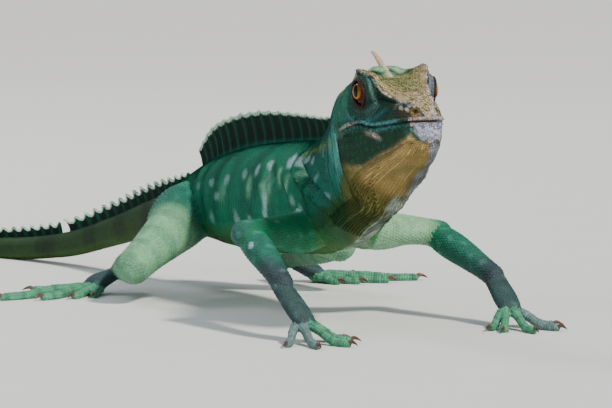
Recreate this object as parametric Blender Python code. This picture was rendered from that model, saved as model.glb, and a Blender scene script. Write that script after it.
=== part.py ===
"""Green basilisk, male, standing with raised head: a solid model in life size.

The animal faces -Y, its right side is at -X, and it stands on the plane z = 0.
Lengths in this file are millimetres and angles degrees, unless a name says otherwise.
"""
import math

import bmesh
import bpy
import numpy as np
from mathutils import Vector

MM = 0.001              # metres in a millimetre
GAP = 0.3               # clear space between neighbouring nodes
FLOOR = 0.0

# Head: a local frame with u back from the snout, v to the side and w up
HEAD_TIP = (-5.0, 0.0, 71.5)        # front end of the mouth line
HEAD_PITCH = 6.0                    # snout raised
STATION_U = (0.9, 4.5, 10.5, 17.0, 23.5, 30.0, 37.0, 45.0)
STATION_LEAN = (0.12, 0.10, 0.05, 0.03, 0.07, 0.13, 0.22, 0.32)
CROWN_HEIGHT = (4.4, 7.4, 10.2, 13.4, 15.6, 16.3, 14.6, 12.2)
THROAT_HEIGHT = (-5.4, -8.9, -13.0, -16.9, -20.4, -23.6, -26.6, -29.6)
MOUTH_INSET = (0.6, 0.8, 0.8, 0.8, 0.8, 0.5, 0.0, 0.0)
# each line runs down the head as (half width, height) at the eight stations
BROW_LINE = ((2.4, 4.1), (4.0, 7.4), (6.1, 10.8), (8.8, 15.2), (12.1, 19.7), (11.2, 17.2),
             (8.8, 12.8), (7.6, 10.2))
ORBIT_LINE = ((3.2, 3.4), (5.2, 5.8), (7.3, 8.4), (9.3, 11.9), (11.8, 15.6), (12.4, 13.9),
              (10.8, 9.6), (10.0, 6.8))
TEMPLE_LINE = ((3.7, 2.5), (5.8, 4.3), (8.0, 6.2), (9.9, 8.4), (12.0, 10.8), (13.4, 9.4),
               (12.6, 6.0), (11.5, 2.2))
CHEEK_LINE = ((4.2, 1.5), (6.6, 2.7), (9.0, 3.6), (11.2, 4.4), (13.2, 4.8), (14.4, 3.8),
              (13.8, 1.2), (12.3, -3.0))
UPPER_LIP_LINE = ((4.5, 0.6), (7.1, 0.8), (9.7, 0.9), (12.0, 0.9), (13.6, 0.4), (14.6, -0.8),
                  (14.2, -3.6), (12.5, -9.2))
LOWER_LIP_LINE = ((4.2, -0.6), (6.8, -0.8), (9.4, -0.9), (11.7, -1.1), (13.3, -1.9), (14.4, -3.4),
                  (14.0, -7.2), (12.2, -15.0))
JAW_LINE = ((4.1, -3.0), (6.6, -5.0), (9.0, -6.4), (11.0, -7.2), (12.7, -8.8), (13.6, -10.6),
            (13.2, -14.0), (11.2, -20.2))
UNDER_JAW_LINE = ((2.5, -4.8), (4.6, -7.9), (6.4, -11.4), (7.4, -14.2), (8.6, -17.2), (9.2, -20.0),
                  (9.0, -22.6), (8.0, -26.0))
SNOUT_CAP = 0.9                     # roundness of the nose in front of the first station

# Neck, torso and pelvis: y, x, back height, belly height, half width, tilt
TRUNK = (
    (53.0, -3.0, 70.8, 33.4, 12.2, 27.0),
    (67.0, 0.0, 64.6, 26.6, 13.8, 16.0),
    (84.0, 1.5, 60.2, 22.0, 15.8, 8.0),
    (108.0, 1.5, 58.0, 19.6, 17.0, 4.0),
    (134.0, 0.5, 55.2, 18.0, 16.8, 2.0),
    (157.0, -1.0, 50.6, 18.4, 14.2, 3.0),
    (173.0, -2.0, 45.6, 19.2, 12.0, 5.0),
    (188.0, -2.5, 40.0, 19.6, 9.4, 9.0),
)
RING_ANGLES = (0, 15, 30, 43, 57, 72, 88, 96, 105, 120, 143, 180)
TRUNK_SQUARENESS = 0.92
# the tail bends as (distance from its base, heading)
TAIL_LENGTH = 470.0
TAIL_STATIONS = (18, 40, 65, 95, 130, 170, 215, 265, 320, 375, 430, 470)
TAIL_BENDS = ((0, 3), (80, 10), (170, 34), (260, 32), (350, -8), (470, -62))
TAIL_BASE_HALF_HEIGHT = 10.3
TAIL_TIP_HALF_HEIGHT = 0.8
TAIL_WIDTH_RATIO = 0.88
TAIL_DROP = 19.3
TAIL_DROP_LENGTH = 130.0
TAIL_PRESS = 0.22                   # how far its underside is flattened on the floor

# Rows of the body net at which the nodes part
HEAD_END = 7
NECK_END = 9
TORSO_MID = 12
TORSO_END = 15
TAIL_PARTS = (15, 19, 22, 24, 27)
AROUND = (0, 0.5, 1, 1.5, 2, 2.6, 3.2, 4, 4.5, 5, 5.5, 6, 7, 8, 8.5, 9, 10, 10.5, 11)
AROUND_BODY = (0, 1, 2, 3, 4, 5, 6, 8, 9, 10, 10.5, 11)
AROUND_TAIL = (0, 1, 2.4, 4, 5.5, 8, 9.6, 10.5, 11)

# Eyes, lids, nostrils and ears in the head's frame
EYE_CENTRE = (22.5, 9.0, 10.8)
EYE_RADIUS = 5.1
LID_THICKNESS = 0.75
EYE_OPENING = (4.3, 3.7)            # half length and half height of the almond
NOSTRIL = (3.6, 4.6, 3.6)
NOSTRIL_RADII = (1.0, 1.3, 0.75)
EAR_CENTRE = (37.5, 13.9, -0.5)
EAR_RADII = (2.5, 1.1, 3.2)

# Crests and sail
FRONT_CREST_BASE = (25.5, 33.5)     # along the crown
FRONT_CREST_TIP = (36.6, -1.4, 24.4)
REAR_CREST_ROWS = (5.5, 7.9)
REAR_CREST_HEIGHT = 9.6
REAR_CREST_LEAN = 34.0
REAR_CREST_RAYS = 6
SAIL_ROWS = (8.6, 14.35)
SAIL_RAYS = 21
SAIL_HEIGHTS = (2.5, 6.2, 8.0, 9.6, 11.4, 12.8, 13.4, 12.6, 8.0)
SAIL_RAKE = 24.0
TAIL_CREST_RAYS = (16, 18)
TAIL_CREST_ROWS = ((15.15, 18.9), (19.1, 21.9))
TAIL_CREST_HEIGHTS = ((3.0, 6.2, 6.0, 5.0), (4.8, 4.0, 3.0, 1.4))
MEMBRANE_HALF = 0.36
RAY_HALF = 0.85
EDGE_HALF = 0.26

# Limbs: joint positions
SHOULDER_R = (-11.0, 75.0, 30.0)
ELBOW_R = (-42.0, 66.0, 31.0)
WRIST_R = (-37.5, 36.0, 16.5)
KNUCKLES_R = (-34.5, 26.5, 6.0)
SHOULDER_L = (13.0, 75.0, 30.0)
ELBOW_L = (42.0, 74.0, 27.0)
WRIST_L = (44.0, 43.0, 14.5)
KNUCKLES_L = (43.0, 33.0, 6.0)
HIP_R = (-7.0, 173.0, 31.0)
KNEE_R = (-48.0, 145.0, 10.5)
ANKLE_R = (-31.0, 190.0, 7.4)
SOLE_R = (-45.0, 184.5, 3.0)
HIP_L = (4.0, 173.0, 31.0)
KNEE_L = (42.0, 147.0, 15.0)
ANKLE_L = (34.0, 193.0, 7.6)
SOLE_L = (47.0, 186.0, 3.0)
UPPER_ARM_RADII = (6.0, 5.6, 4.9, 4.5, 4.5)
FOREARM_RADII = (4.3, 4.8, 4.3, 3.6, 3.4)
THIGH_RADII = (9.5, 9.4, 8.0, 6.3, 5.6)
SHANK_RADII = (5.0, 5.4, 4.6, 3.6, 3.3)
# digits: heading, length, radius and place on the knuckle line
HAND_DIGITS = ((68, 9.0, 1.25, 1.0), (46, 13.5, 1.3, 0.55), (18, 18.5, 1.35, 0.05),
               (-12, 18.0, 1.35, -0.5), (-42, 12.5, 1.25, -1.0))
HAND_KNUCKLE_HALF = 3.6
FOOT_DIGITS = ((34, 11.0, 1.35, 1.0), (18, 17.0, 1.4, 0.6), (4, 26.0, 1.45, 0.15),
               (-10, 37.0, 1.5, -0.35), (-52, 19.0, 1.35, -1.0))
FOOT_KNUCKLE_HALF = 4.0
HAND_HEADING_R = 4.0
HAND_HEADING_L = -14.0
FOOT_HEADING_R = -68.0
FOOT_HEADING_L = -60.0
HAND_CLAW = 4.0
PAD_PRESS = 0.34                    # how far the pads are flattened
DIGIT_SWELLS = (1.15, 1.25, 1.05, 1.0, 1.1, 1.0)
CLAW_SIDES = 5
DIGIT_SIDES = 8
LIMB_SIDES = 12
LIMB_RINGS = 7
FOOT_CLAW = 4.4

COLOURS = {
    "head": (0.05, 0.22, 0.17), "neck": (0.12, 0.20, 0.10), "torso": (0.03, 0.26, 0.17),
    "tail": (0.08, 0.16, 0.07), "limb": (0.10, 0.26, 0.18), "digit": (0.16, 0.26, 0.24),
    "crest": (0.16, 0.34, 0.22), "eye": (0.45, 0.26, 0.03),
}


# Scene and meshes
def clear_scene():
    for old in list(bpy.data.objects):
        bpy.data.objects.remove(old, do_unlink=True)


def material(name, colour, roughness=0.5):
    made = bpy.data.materials.new(name)
    made.use_nodes = True
    shader = made.node_tree.nodes["Principled BSDF"]
    shader.inputs["Base Color"].default_value = (*colour, 1.0)
    shader.inputs["Roughness"].default_value = roughness
    shader.inputs["Metallic"].default_value = 0.0
    return made


def make_object(name, verts, faces, colour="torso"):
    """A named object from points in millimetres, its faces turned outward."""
    mesh = bpy.data.meshes.new(name)
    mesh.from_pydata([tuple(float(c) * MM for c in p) for p in verts], [], faces)
    mesh.update()
    turn_outward(mesh)
    mesh.materials.append(material(name + "_finish", COLOURS[colour], 0.22 if colour == "eye" else 0.5))
    made = bpy.data.objects.new(name, mesh)
    bpy.context.scene.collection.objects.link(made)
    return made


def turn_outward(mesh):
    shape = bmesh.new()
    shape.from_mesh(mesh)
    bmesh.ops.recalc_face_normals(shape, faces=shape.faces)
    shape.to_mesh(mesh)
    shape.free()


def spline(points, at):
    """Smooth curve through evenly numbered points, read at the numbers in `at`."""
    pts = np.asarray(points, float)
    if pts.ndim == 1:
        pts = pts[:, None]
    last = len(pts) - 1
    ext = np.vstack([2 * pts[0] - pts[1], pts, 2 * pts[-1] - pts[-2]])
    at = np.clip(np.atleast_1d(np.asarray(at, float)), 0.0, last)
    cell = np.minimum(at.astype(int), last - 1)
    f = (at - cell)[:, None]
    p0, p1, p2, p3 = (ext[cell + k] for k in range(4))
    return 0.5 * (2 * p1 + (p2 - p0) * f + (2 * p0 - 5 * p1 + 4 * p2 - p3) * f ** 2
                  + (3 * p1 - p0 - 3 * p2 + p3) * f ** 3)


def profile(values, fractions):
    """Heights or radii spread evenly from 0 to 1, read at the given fractions."""
    return spline(values, np.asarray(fractions, float) * (len(values) - 1))[:, 0]


def unit(vector):
    vector = np.asarray(vector, float)
    return vector / np.linalg.norm(vector)


def loft(rings, start=None, end=None):
    """Closed skin over rings of equal length, with a fan to a point at each end."""
    rings = [np.asarray(r) for r in rings]
    count = len(rings[0])
    verts = [tuple(p) for ring in rings for p in ring]
    faces = []
    for i in range(len(rings) - 1):
        for j in range(count):
            k = (j + 1) % count
            faces.append((i * count + j, i * count + k, (i + 1) * count + k, (i + 1) * count + j))
    for row, tip in ((0, start), (len(rings) - 1, end)):
        ring = rings[row]
        tip = ring.mean(axis=0) if tip is None else np.asarray(tip)
        verts.append(tuple(tip))
        hub = len(verts) - 1
        faces += [(row * count + j, row * count + (j + 1) % count, hub) for j in range(count)]
    return verts, faces


# The body net: rows of twelve points from the back midline down the left side to the belly
def head_point(u, v, w):
    pitch = math.radians(HEAD_PITCH)
    return np.array([HEAD_TIP[0] + v,
                     HEAD_TIP[1] + u * math.cos(pitch) + w * math.sin(pitch),
                     HEAD_TIP[2] - u * math.sin(pitch) + w * math.cos(pitch)])


def head_row(i):
    crown, brow = CROWN_HEIGHT[i], BROW_LINE[i]
    upper, lower = UPPER_LIP_LINE[i], LOWER_LIP_LINE[i]
    crown_side = (brow[0] * 0.5, crown + (brow[1] - crown) * 0.3)
    mouth = ((upper[0] + lower[0]) / 2 - MOUTH_INSET[i], (upper[1] + lower[1]) / 2)
    section = ((0.0, crown), crown_side, brow, ORBIT_LINE[i], TEMPLE_LINE[i], CHEEK_LINE[i], upper,
               mouth, lower, JAW_LINE[i], UNDER_JAW_LINE[i], (0.0, THROAT_HEIGHT[i]))
    return np.array([head_point(STATION_U[i] + STATION_LEAN[i] * w, v, w) for v, w in section])


def ring_row(centre, back, up, half_width, half_height, squareness):
    side = np.cross(back, up)
    side = side / np.linalg.norm(side)
    if side[0] < 0:
        side = -side
    row = []
    for angle in RING_ANGLES:
        s, c = math.sin(math.radians(angle)), math.cos(math.radians(angle))
        v = half_width * abs(s) ** squareness
        h = half_height * math.copysign(abs(c) ** squareness, c)
        row.append(centre + side * v + up * h)
    return np.array(row)


def trunk_row(i):
    y, x, top, bottom, half_width, tilt = TRUNK[i]
    ahead, behind = TRUNK[max(i - 1, 0)], TRUNK[min(i + 1, len(TRUNK) - 1)]
    back = unit((behind[1] - ahead[1], behind[0] - ahead[0], 0.0))
    t = math.radians(tilt)
    up = back * math.sin(t) + np.array([0.0, 0.0, math.cos(t)])
    half_height = (top - bottom) / 2 / math.cos(t)
    centre = np.array([x, y, (top + bottom) / 2])
    return ring_row(centre, back, up, half_width, half_height, TRUNK_SQUARENESS)


def tail_half_height(s):
    f = s / TAIL_LENGTH
    taper = 0.5 * (1 - f) + 0.5 * math.exp(-s / 30.0)
    return TAIL_TIP_HALF_HEIGHT + (TAIL_BASE_HALF_HEIGHT - TAIL_TIP_HALF_HEIGHT) * taper


def tail_centre_height(s):
    f = min(s / TAIL_DROP_LENGTH, 1.0)
    return tail_half_height(s) - TAIL_PRESS + TAIL_DROP * (1 - f * f * (3 - 2 * f))


def tail_rows():
    base = TRUNK[-1]
    place = np.array([base[1], base[0], 0.0])
    bends = np.array(TAIL_BENDS, float)
    rows, step, s = [], 1.0, 0.0
    stations = list(TAIL_STATIONS)
    while stations:
        heading = math.radians(float(np.interp(s, bends[:, 0], bends[:, 1])))
        back = np.array([-math.sin(heading), math.cos(heading), 0.0])
        place = place + back * step
        s += step
        if s >= stations[0]:
            stations.pop(0)
            slope = math.atan(tail_centre_height(s - 2) - tail_centre_height(s + 2)) / 4
            up = back * math.sin(slope) + np.array([0.0, 0.0, math.cos(slope)])
            half = tail_half_height(s)
            centre = np.array([place[0], place[1], tail_centre_height(s)])
            rows.append(ring_row(centre, back, up, half * TAIL_WIDTH_RATIO, half, 1.0))
    return rows


NET = np.array([head_row(i) for i in range(len(STATION_U))]
               + [trunk_row(i) for i in range(len(TRUNK))] + tail_rows())


def net_ring(row, around):
    """The full ring at a row number, smooth along the body and round it."""
    half = spline(NET.reshape(len(NET), -1), row)[0].reshape(-1, 3)
    centre_line = (half[0] + half[-1]) / 2
    axis = half[0] - half[-1]
    side = np.cross(axis, NET[min(int(row) + 1, len(NET) - 1)].mean(axis=0) - centre_line)
    side = unit(half[4] - centre_line - axis * np.dot(half[4] - centre_line, axis) / np.dot(axis, axis))
    mirrored = half - 2 * np.outer((half - centre_line) @ side, side)
    padded = np.vstack([mirrored[2:0:-1], half, mirrored[-2:-4:-1]])
    left = spline(padded, np.asarray(around) + 2)
    right = left - 2 * np.outer((left - centre_line) @ side, side)
    return np.vstack([left, right[-2:0:-1]])


def net_frame(row):
    """Back midline point with the up, side and back directions there."""
    ring = net_ring(row, (0, 4, 11))
    up = unit(ring[0] - ring[2])
    side = unit(ring[1] - ring[3])
    ahead, behind = net_ring(max(row - 0.05, 0), (0, 11))[0], net_ring(row + 0.05, (0, 11))[0]
    back = unit(behind - ahead)
    return ring[0], up, side, back


def body_node(name, first, last, steps, around, colour, nose=False):
    rings = [net_ring(row, around) for row in np.linspace(first, last, steps + 1)]
    if not nose:
        rings[0] = part_ring(rings[0], rings[1])
    if last < len(NET) - 1:
        rings[-1] = part_ring(rings[-1], rings[-2])
    start = None
    if nose:
        centre = rings[0].mean(axis=0)
        front = head_point(0.0, 0.0, -0.2)
        lip = centre + (rings[0] - centre) * 0.62 + (front - centre) * SNOUT_CAP * 0.75
        rings.insert(0, lip)
        start = centre + (front - centre) * (1 + SNOUT_CAP * 0.3)
    verts, faces = loft(rings, start)
    verts = [(x, y, max(z, FLOOR)) for x, y, z in verts]
    made = make_object(name, verts, faces, colour)
    return made


def part_ring(ring, inner):
    """Half the gap taken off a flat end, towards the inside of its node."""
    flat = np.cross(ring[0] - ring[len(ring) // 2], ring[len(ring) // 4] - ring[3 * len(ring) // 4])
    flat = unit(flat)
    if np.dot(flat, inner.mean(axis=0) - ring.mean(axis=0)) < 0:
        flat = -flat
    return ring + flat * (GAP / 2)


# Booleans
def evaluated_mesh(thing):
    bpy.context.view_layer.update()
    graph = bpy.context.evaluated_depsgraph_get()
    return bpy.data.meshes.new_from_object(thing.evaluated_get(graph))


def apply_boolean(target, others, operation, solver="MANIFOLD"):
    """One Boolean on a collection, applied; the collection's objects are removed."""
    group = bpy.data.collections.new("operands")
    bpy.context.scene.collection.children.link(group)
    for other in others:
        for old in list(other.users_collection):
            old.objects.unlink(other)
        group.objects.link(other)
    change = target.modifiers.new("join", "BOOLEAN")
    change.operation = operation
    change.operand_type = "COLLECTION"
    change.collection = group
    change.solver = solver
    result = evaluated_mesh(target)
    target.modifiers.clear()
    finish = target.data.materials[0]
    target.data = result
    target.data.materials.clear()
    target.data.materials.append(finish)
    for other in others:
        bpy.data.objects.remove(other, do_unlink=True)
    bpy.data.collections.remove(group)
    keep_largest(target)


def keep_largest(thing):
    """Leaves the largest closed surface of a node."""
    shape = bmesh.new()
    shape.from_mesh(thing.data)
    bmesh.ops.triangulate(shape, faces=shape.faces)
    seen, best = set(), []
    for vert in shape.verts:
        if vert in seen:
            continue
        island, stack = [], [vert]
        seen.add(vert)
        while stack:
            here = stack.pop()
            island.append(here)
            for edge in here.link_edges:
                other = edge.other_vert(here)
                if other not in seen:
                    seen.add(other)
                    stack.append(other)
        if len(island) > len(best):
            best = island
    kept = set(best)
    bmesh.ops.delete(shape, geom=[v for v in shape.verts if v not in kept], context="VERTS")
    shape.to_mesh(thing.data)
    shape.free()


def swollen_copy(thing, by):
    """A copy with its skin moved outward, to cut a neighbour clear of it."""
    shape = bmesh.new()
    shape.from_mesh(thing.data)
    bmesh.ops.triangulate(shape, faces=shape.faces)
    shape.normal_update()
    moves = []
    for vert in shape.verts:
        push = sum((f.normal for f in vert.link_faces), Vector()).normalized()
        least = min((push.dot(f.normal) for f in vert.link_faces), default=1.0)
        moves.append(push * (by * MM / max(least, 0.5)))
    for vert, move in zip(shape.verts, moves):
        vert.co += move
    mesh = bpy.data.meshes.new("swollen")
    shape.to_mesh(mesh)
    shape.free()
    copy = bpy.data.objects.new("swollen", mesh)
    bpy.context.scene.collection.objects.link(copy)
    return copy


def cut_clear(thing, neighbours, gap=GAP):
    apply_boolean(thing, [swollen_copy(n, gap) for n in neighbours], "DIFFERENCE")


def ellipsoid(centre, radii, axes=None, segments=16, rings=10):
    """Points and faces of an ellipsoid on the given axes."""
    axes = np.eye(3) if axes is None else np.asarray(axes)
    loops = []
    for i in range(1, rings):
        polar = math.pi * i / rings
        loop = []
        for j in range(segments):
            turn = 2 * math.pi * j / segments
            local = np.array([math.sin(polar) * math.cos(turn) * radii[0],
                              math.sin(polar) * math.sin(turn) * radii[1],
                              math.cos(polar) * radii[2]])
            loop.append(np.asarray(centre) + local @ axes)
        loops.append(loop)
    pole = np.array([0, 0, radii[2]]) @ axes
    return loft(loops, np.asarray(centre) + pole, np.asarray(centre) - pole)


def head_axes(side):
    """Back, outward and up directions of the head for one side."""
    origin = head_point(0, 0, 0)
    return np.array([head_point(1, 0, 0) - origin, (side, 0.0, 0.0), head_point(0, 0, 1) - origin])


# Head with lids, eyes, nostrils and ears
def eye_centre(side):
    u, v, w = EYE_CENTRE
    return head_point(u, side * v, w)


def almond_cutter(side):
    """Prism with an almond section that opens the lids over the eye."""
    back, out, up = head_axes(side)
    half_length, half_height = EYE_OPENING
    outline = []
    for i in range(16):
        turn = 2 * math.pi * i / 16
        along = math.copysign(abs(math.cos(turn)) ** 1.15, math.cos(turn)) * half_length
        high = math.copysign(abs(math.sin(turn)) ** 1.25, math.sin(turn)) * half_height
        outline.append(eye_centre(side) + back * along + up * high)
    near = [p + out * (EYE_RADIUS * 0.35) for p in outline]
    far = [p + out * (EYE_RADIUS * 2.2) for p in outline]
    return make_object("almond", *loft([near, far]), "head")


def make_head():
    head = body_node("head", 0, HEAD_END, 26, AROUND, "head", nose=True)
    lids = []
    for side in (1, -1):
        lid = EYE_RADIUS + GAP + LID_THICKNESS
        shape = ellipsoid(eye_centre(side), (lid * 1.05, lid, lid), head_axes(side), 16, 10)
        lids.append(make_object("lid", *shape, "head"))
    apply_boolean(head, lids, "UNION")
    cutters = []
    for side in (1, -1):
        axes = head_axes(side)
        socket = (EYE_RADIUS + GAP,) * 3
        shape = ellipsoid(eye_centre(side), socket, axes, 16, 8)
        cutters.append(make_object("socket", *shape, "head"))
        cutters.append(almond_cutter(side))
        u, v, w = NOSTRIL
        shape = ellipsoid(head_point(u, side * v, w), NOSTRIL_RADII, axes, 8, 6)
        cutters.append(make_object("nostril", *shape, "head"))
        u, v, w = EAR_CENTRE
        shape = ellipsoid(head_point(u, side * v, w), EAR_RADII, axes, 12, 8)
        cutters.append(make_object("ear", *shape, "head"))
    apply_boolean(head, cutters, "DIFFERENCE")
    eyes = []
    for side, name in ((1, "eye_L"), (-1, "eye_R")):
        shape = ellipsoid(eye_centre(side), (EYE_RADIUS,) * 3, head_axes(side), 16, 8)
        eyes.append(make_object(name, *shape, "eye"))
    return head, eyes


# Crests and sail
def vane(name, columns, colour="crest"):
    """A thin upright vane: each column is a list of (point, half thickness, side)."""
    rows = len(columns[0])
    verts, faces = [], []
    for column in columns:
        for sign in (1, -1):
            verts += [tuple(p + side * (half * sign)) for p, half, side in column]
    stride = 2 * rows

    def corner(i, sign, k):
        return i * stride + (0 if sign > 0 else rows) + k

    for i in range(len(columns) - 1):
        for k in range(rows - 1):
            for sign in (1, -1):
                a, b = corner(i, sign, k), corner(i + 1, sign, k)
                c, d = corner(i + 1, sign, k + 1), corner(i, sign, k + 1)
                faces += [(a, b, c), (a, c, d)]
        for k in (0, rows - 1):
            a, b = corner(i, 1, k), corner(i + 1, 1, k)
            c, d = corner(i + 1, -1, k), corner(i, -1, k)
            faces += [(a, b, c), (a, c, d)]
    for i in (0, len(columns) - 1):
        for k in range(rows - 1):
            a, b = corner(i, 1, k), corner(i, 1, k + 1)
            c, d = corner(i, -1, k + 1), corner(i, -1, k)
            faces += [(a, b, c), (a, c, d)]
    return make_object(name, verts, faces, colour)


def rayed_vane(name, rows, rays, heights, rake, notch, lean=0.0, levels=4, per_ray=4):
    """A membrane along the back with its rays raised in its own surface."""
    columns = []
    count = rays * per_ray
    for i in range(count + 1):
        f = i / count
        foot, up, side, back = net_frame(rows[0] + (rows[1] - rows[0]) * f)
        foot = foot + up * GAP
        near_ray = 1.0 - 2 * abs((i / per_ray) % 1.0 - 0.5) if per_ray > 1 else 0.0
        on_ray = i % per_ray == 0
        height = float(profile(heights, [f])[0]) * (1.0 - notch * near_ray)
        tilt = math.radians(lean)
        rise = unit(up * math.cos(tilt) + side * math.sin(tilt))
        column = []
        for k in range(levels):
            g = k / (levels - 1)
            half = RAY_HALF * (1 - 0.45 * g) if on_ray else MEMBRANE_HALF * (1 - 0.2 * g)
            if k == levels - 1:
                half = EDGE_HALF
            drift = math.tan(math.radians(rake)) * height * g * g
            bend = rise if k else up
            point = foot + bend * (height * g) + back * (drift * (0.25 + 0.75 * min(f * 6, 1)))
            column.append((point, half, side))
        columns.append(column)
    return vane(name, columns)


def make_front_crest():
    """A narrow lobe that rises from the crown and leans back to a point."""
    first, last = FRONT_CREST_BASE
    tip = head_point(*FRONT_CREST_TIP)
    columns = []
    steps = 6
    for i in range(steps + 1):
        f = i / steps
        u = first + (last - first) * f
        row = float(np.interp(u, [a + b * c for a, b, c in zip(STATION_U, STATION_LEAN, CROWN_HEIGHT)],
                              range(len(STATION_U))))
        foot, up, side, back = net_frame(row)
        foot = foot + up * GAP
        column = []
        for k in range(5):
            g = k / 4
            pull = g ** 0.8
            point = foot * (1 - pull) + (tip - back * (1 - f) * 1.6 * (1 - 0.6 * g)) * pull
            swell = math.sin(math.pi * min(max(f, 0.12), 0.88))
            column.append((point, 0.3 + 0.55 * (1 - g) * swell + 0.12 * g * swell, side))
        columns.append(column)
    return vane("head_crest_front", columns)


def make_crests():
    made = [make_front_crest()]
    rounded = (1.2, 6.4, 8.8, 9.6, 9.4, 8.2, 5.2)
    rounded = tuple(h * REAR_CREST_HEIGHT / 9.6 for h in rounded)
    made.append(rayed_vane("head_crest_rear", REAR_CREST_ROWS, REAR_CREST_RAYS, rounded, 24.0, 0.04,
                           REAR_CREST_LEAN))
    made.append(rayed_vane("dorsal_sail", SAIL_ROWS, SAIL_RAYS, SAIL_HEIGHTS, SAIL_RAKE, 0.10))
    for i, (rows, rays, heights) in enumerate(zip(TAIL_CREST_ROWS, TAIL_CREST_RAYS, TAIL_CREST_HEIGHTS)):
        made.append(rayed_vane("tail_crest_%d" % (i + 1), rows, rays, heights, 38.0, 0.42, 0.0, 3, 2))
    return made


# Limbs
def tube(points, radii, along, around, flat=1.0, hint=(0.0, 0.0, 1.0)):
    """A tapering limb with rounded ends: radii across and, times `flat`, in depth."""
    points = np.asarray(points, float)
    fine = spline(points, np.linspace(0, len(points) - 1, 60))
    steps = np.linalg.norm(np.diff(fine, axis=0), axis=1)
    run = np.concatenate([[0.0], np.cumsum(steps)])
    length = run[-1]
    first, last = radii[0], radii[-1]
    body = np.linspace(first, length - last, along)
    caps = [first * (1 - math.cos(math.radians(a))) for a in (25, 58)]
    ends = [length - last * (1 - math.cos(math.radians(a))) for a in (58, 25)]
    rings = []
    for s in caps + list(body) + ends:
        centre = np.array([np.interp(s, run, fine[:, k]) for k in range(3)])
        ahead = np.array([np.interp(min(s + 0.4, length), run, fine[:, k]) for k in range(3)])
        behind = np.array([np.interp(max(s - 0.4, 0), run, fine[:, k]) for k in range(3)])
        forward = unit(ahead - behind)
        across = unit(np.cross(forward, hint))
        deep = np.cross(across, forward)
        radius = float(profile(radii, [s / length])[0])
        if s < first:
            radius *= math.sqrt(max(1 - ((first - s) / first) ** 2, 0.0))
        if s > length - last:
            radius *= math.sqrt(max(1 - ((s - length + last) / last) ** 2, 0.0))
        ring = []
        for j in range(around):
            turn = 2 * math.pi * (j + 0.5) / around
            ring.append(centre + across * (radius * math.cos(turn)) + deep * (radius * flat * math.sin(turn)))
        rings.append(ring)
    return loft(rings, fine[0], fine[-1])


def claw(root, heading, length, radius):
    """A curved, tapering claw whose tip comes down close to the floor."""
    root = np.asarray(root, float)
    level = np.array([heading[0], heading[1], 0.0])
    rise = (0.0, 0.75, 0.35, -0.55)
    points = [root - level * (length * 0.45)]
    points += [root + level * (length * f) + np.array([0.0, 0.0, r * radius])
               for f, r in zip((0.0, 0.3, 0.68, 1.0), rise)]
    fine = spline(points, np.linspace(0, 4, 6))
    rings = []
    for i, centre in enumerate(fine[:-1]):
        f = max(i - 1, 0) / (len(fine) - 2)
        here = radius * (1 - f) ** 0.8
        forward = unit(fine[i + 1] - fine[max(i - 1, 0)])
        across = unit(np.cross(forward, (0.0, 0.0, 1.0)))
        deep = np.cross(across, forward)
        rings.append([centre + across * (here * 0.75 * math.cos(2 * math.pi * j / CLAW_SIDES))
                      + deep * (here * math.sin(2 * math.pi * j / CLAW_SIDES)) for j in range(CLAW_SIDES)])
    return loft(rings, fine[0] - level * 0.2, fine[-1])


def digit(root, angle, length, radius, claw_length, side):
    """One finger or toe: arched from the knuckle, its pad flat on the floor."""
    turn = math.radians(angle)
    heading = np.array([math.sin(turn) * side, -math.cos(turn), 0.0])
    root = np.asarray(root, float)
    rest = radius - PAD_PRESS
    high = root[2]
    fractions = (0.0, 0.28, 0.52, 0.72, 0.88, 1.0)
    heights = (high, high * 0.62 + rest * 0.6, rest + 0.85, rest, rest, rest)
    inward = root - heading * 3.0
    points = [(inward[0], inward[1], high)]
    for f, z in zip(fractions, heights):
        spot = root + heading * (length * f)
        points.append((spot[0], spot[1], z))
    radii = tuple(radius * swell for swell in DIGIT_SWELLS)
    pieces = [tube(points, radii, max(5, int(length / 3.6)), DIGIT_SIDES)]
    tip = np.array(points[-1]) - heading * (radius * 0.7) + np.array([0.0, 0.0, 0.25])
    pieces.append(claw(tip, heading, claw_length, radius * 0.68))
    return pieces


def paw(name, base, knuckles, side, heading, digits, knuckle_half, claw_length, base_radius, neighbours):
    """A hand or foot: palm, five digits and their claws joined into one node."""
    base, knuckles = np.asarray(base, float), np.asarray(knuckles, float)
    turn = math.radians(heading)
    forward = np.array([math.sin(turn) * side, -math.cos(turn), 0.0])
    across = np.array([math.cos(turn) * side, math.sin(turn), 0.0])
    middle = (base + knuckles) / 2
    palm_radii = (base_radius, base_radius * 1.05, knuckle_half * 1.12, knuckle_half * 0.9)
    ends = knuckles + forward * 1.5
    palm = tube((base, middle, knuckles, ends), palm_radii, 6, 12, 0.62, hint=(0.0, 0.0, 1.0))
    made = make_object(name, *palm, "digit")
    pieces = []
    for angle, length, radius, place in digits:
        root = knuckles + across * (place * knuckle_half) - forward * (abs(place) * 1.2)
        root[2] = max(knuckles[2] - 0.9 * abs(place), radius + 0.3)
        for shape in digit(root, heading + angle, length, radius, claw_length, side):
            pieces.append(make_object("piece", *shape, "digit"))
    apply_boolean(made, pieces, "UNION")
    cut_clear(made, neighbours)
    rest_on_floor(made)
    return made


def rest_on_floor(thing):
    """Small flats at floor level under whatever would dip below it."""
    for vert in thing.data.vertices:
        vert.co.z = max(vert.co.z, FLOOR)


def joint_inside(start, joint, radius):
    """The middle of the rounded end that a limb has at a joint."""
    start, joint = np.asarray(start, float), np.asarray(joint, float)
    return joint - unit(joint - start) * radius


def limb_node(name, start, end, radii, neighbours, bow=(0.0, 0.0, 0.0), flat=1.0):
    start, end = np.asarray(start, float), np.asarray(end, float)
    points = [start + (end - start) * f + np.asarray(bow) * math.sin(math.pi * f)
              for f in (0.0, 0.25, 0.5, 0.75, 1.0)]
    made = make_object(name, *tube(points, radii, LIMB_RINGS, LIMB_SIDES, flat), "limb")
    cut_clear(made, neighbours)
    return made


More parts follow.
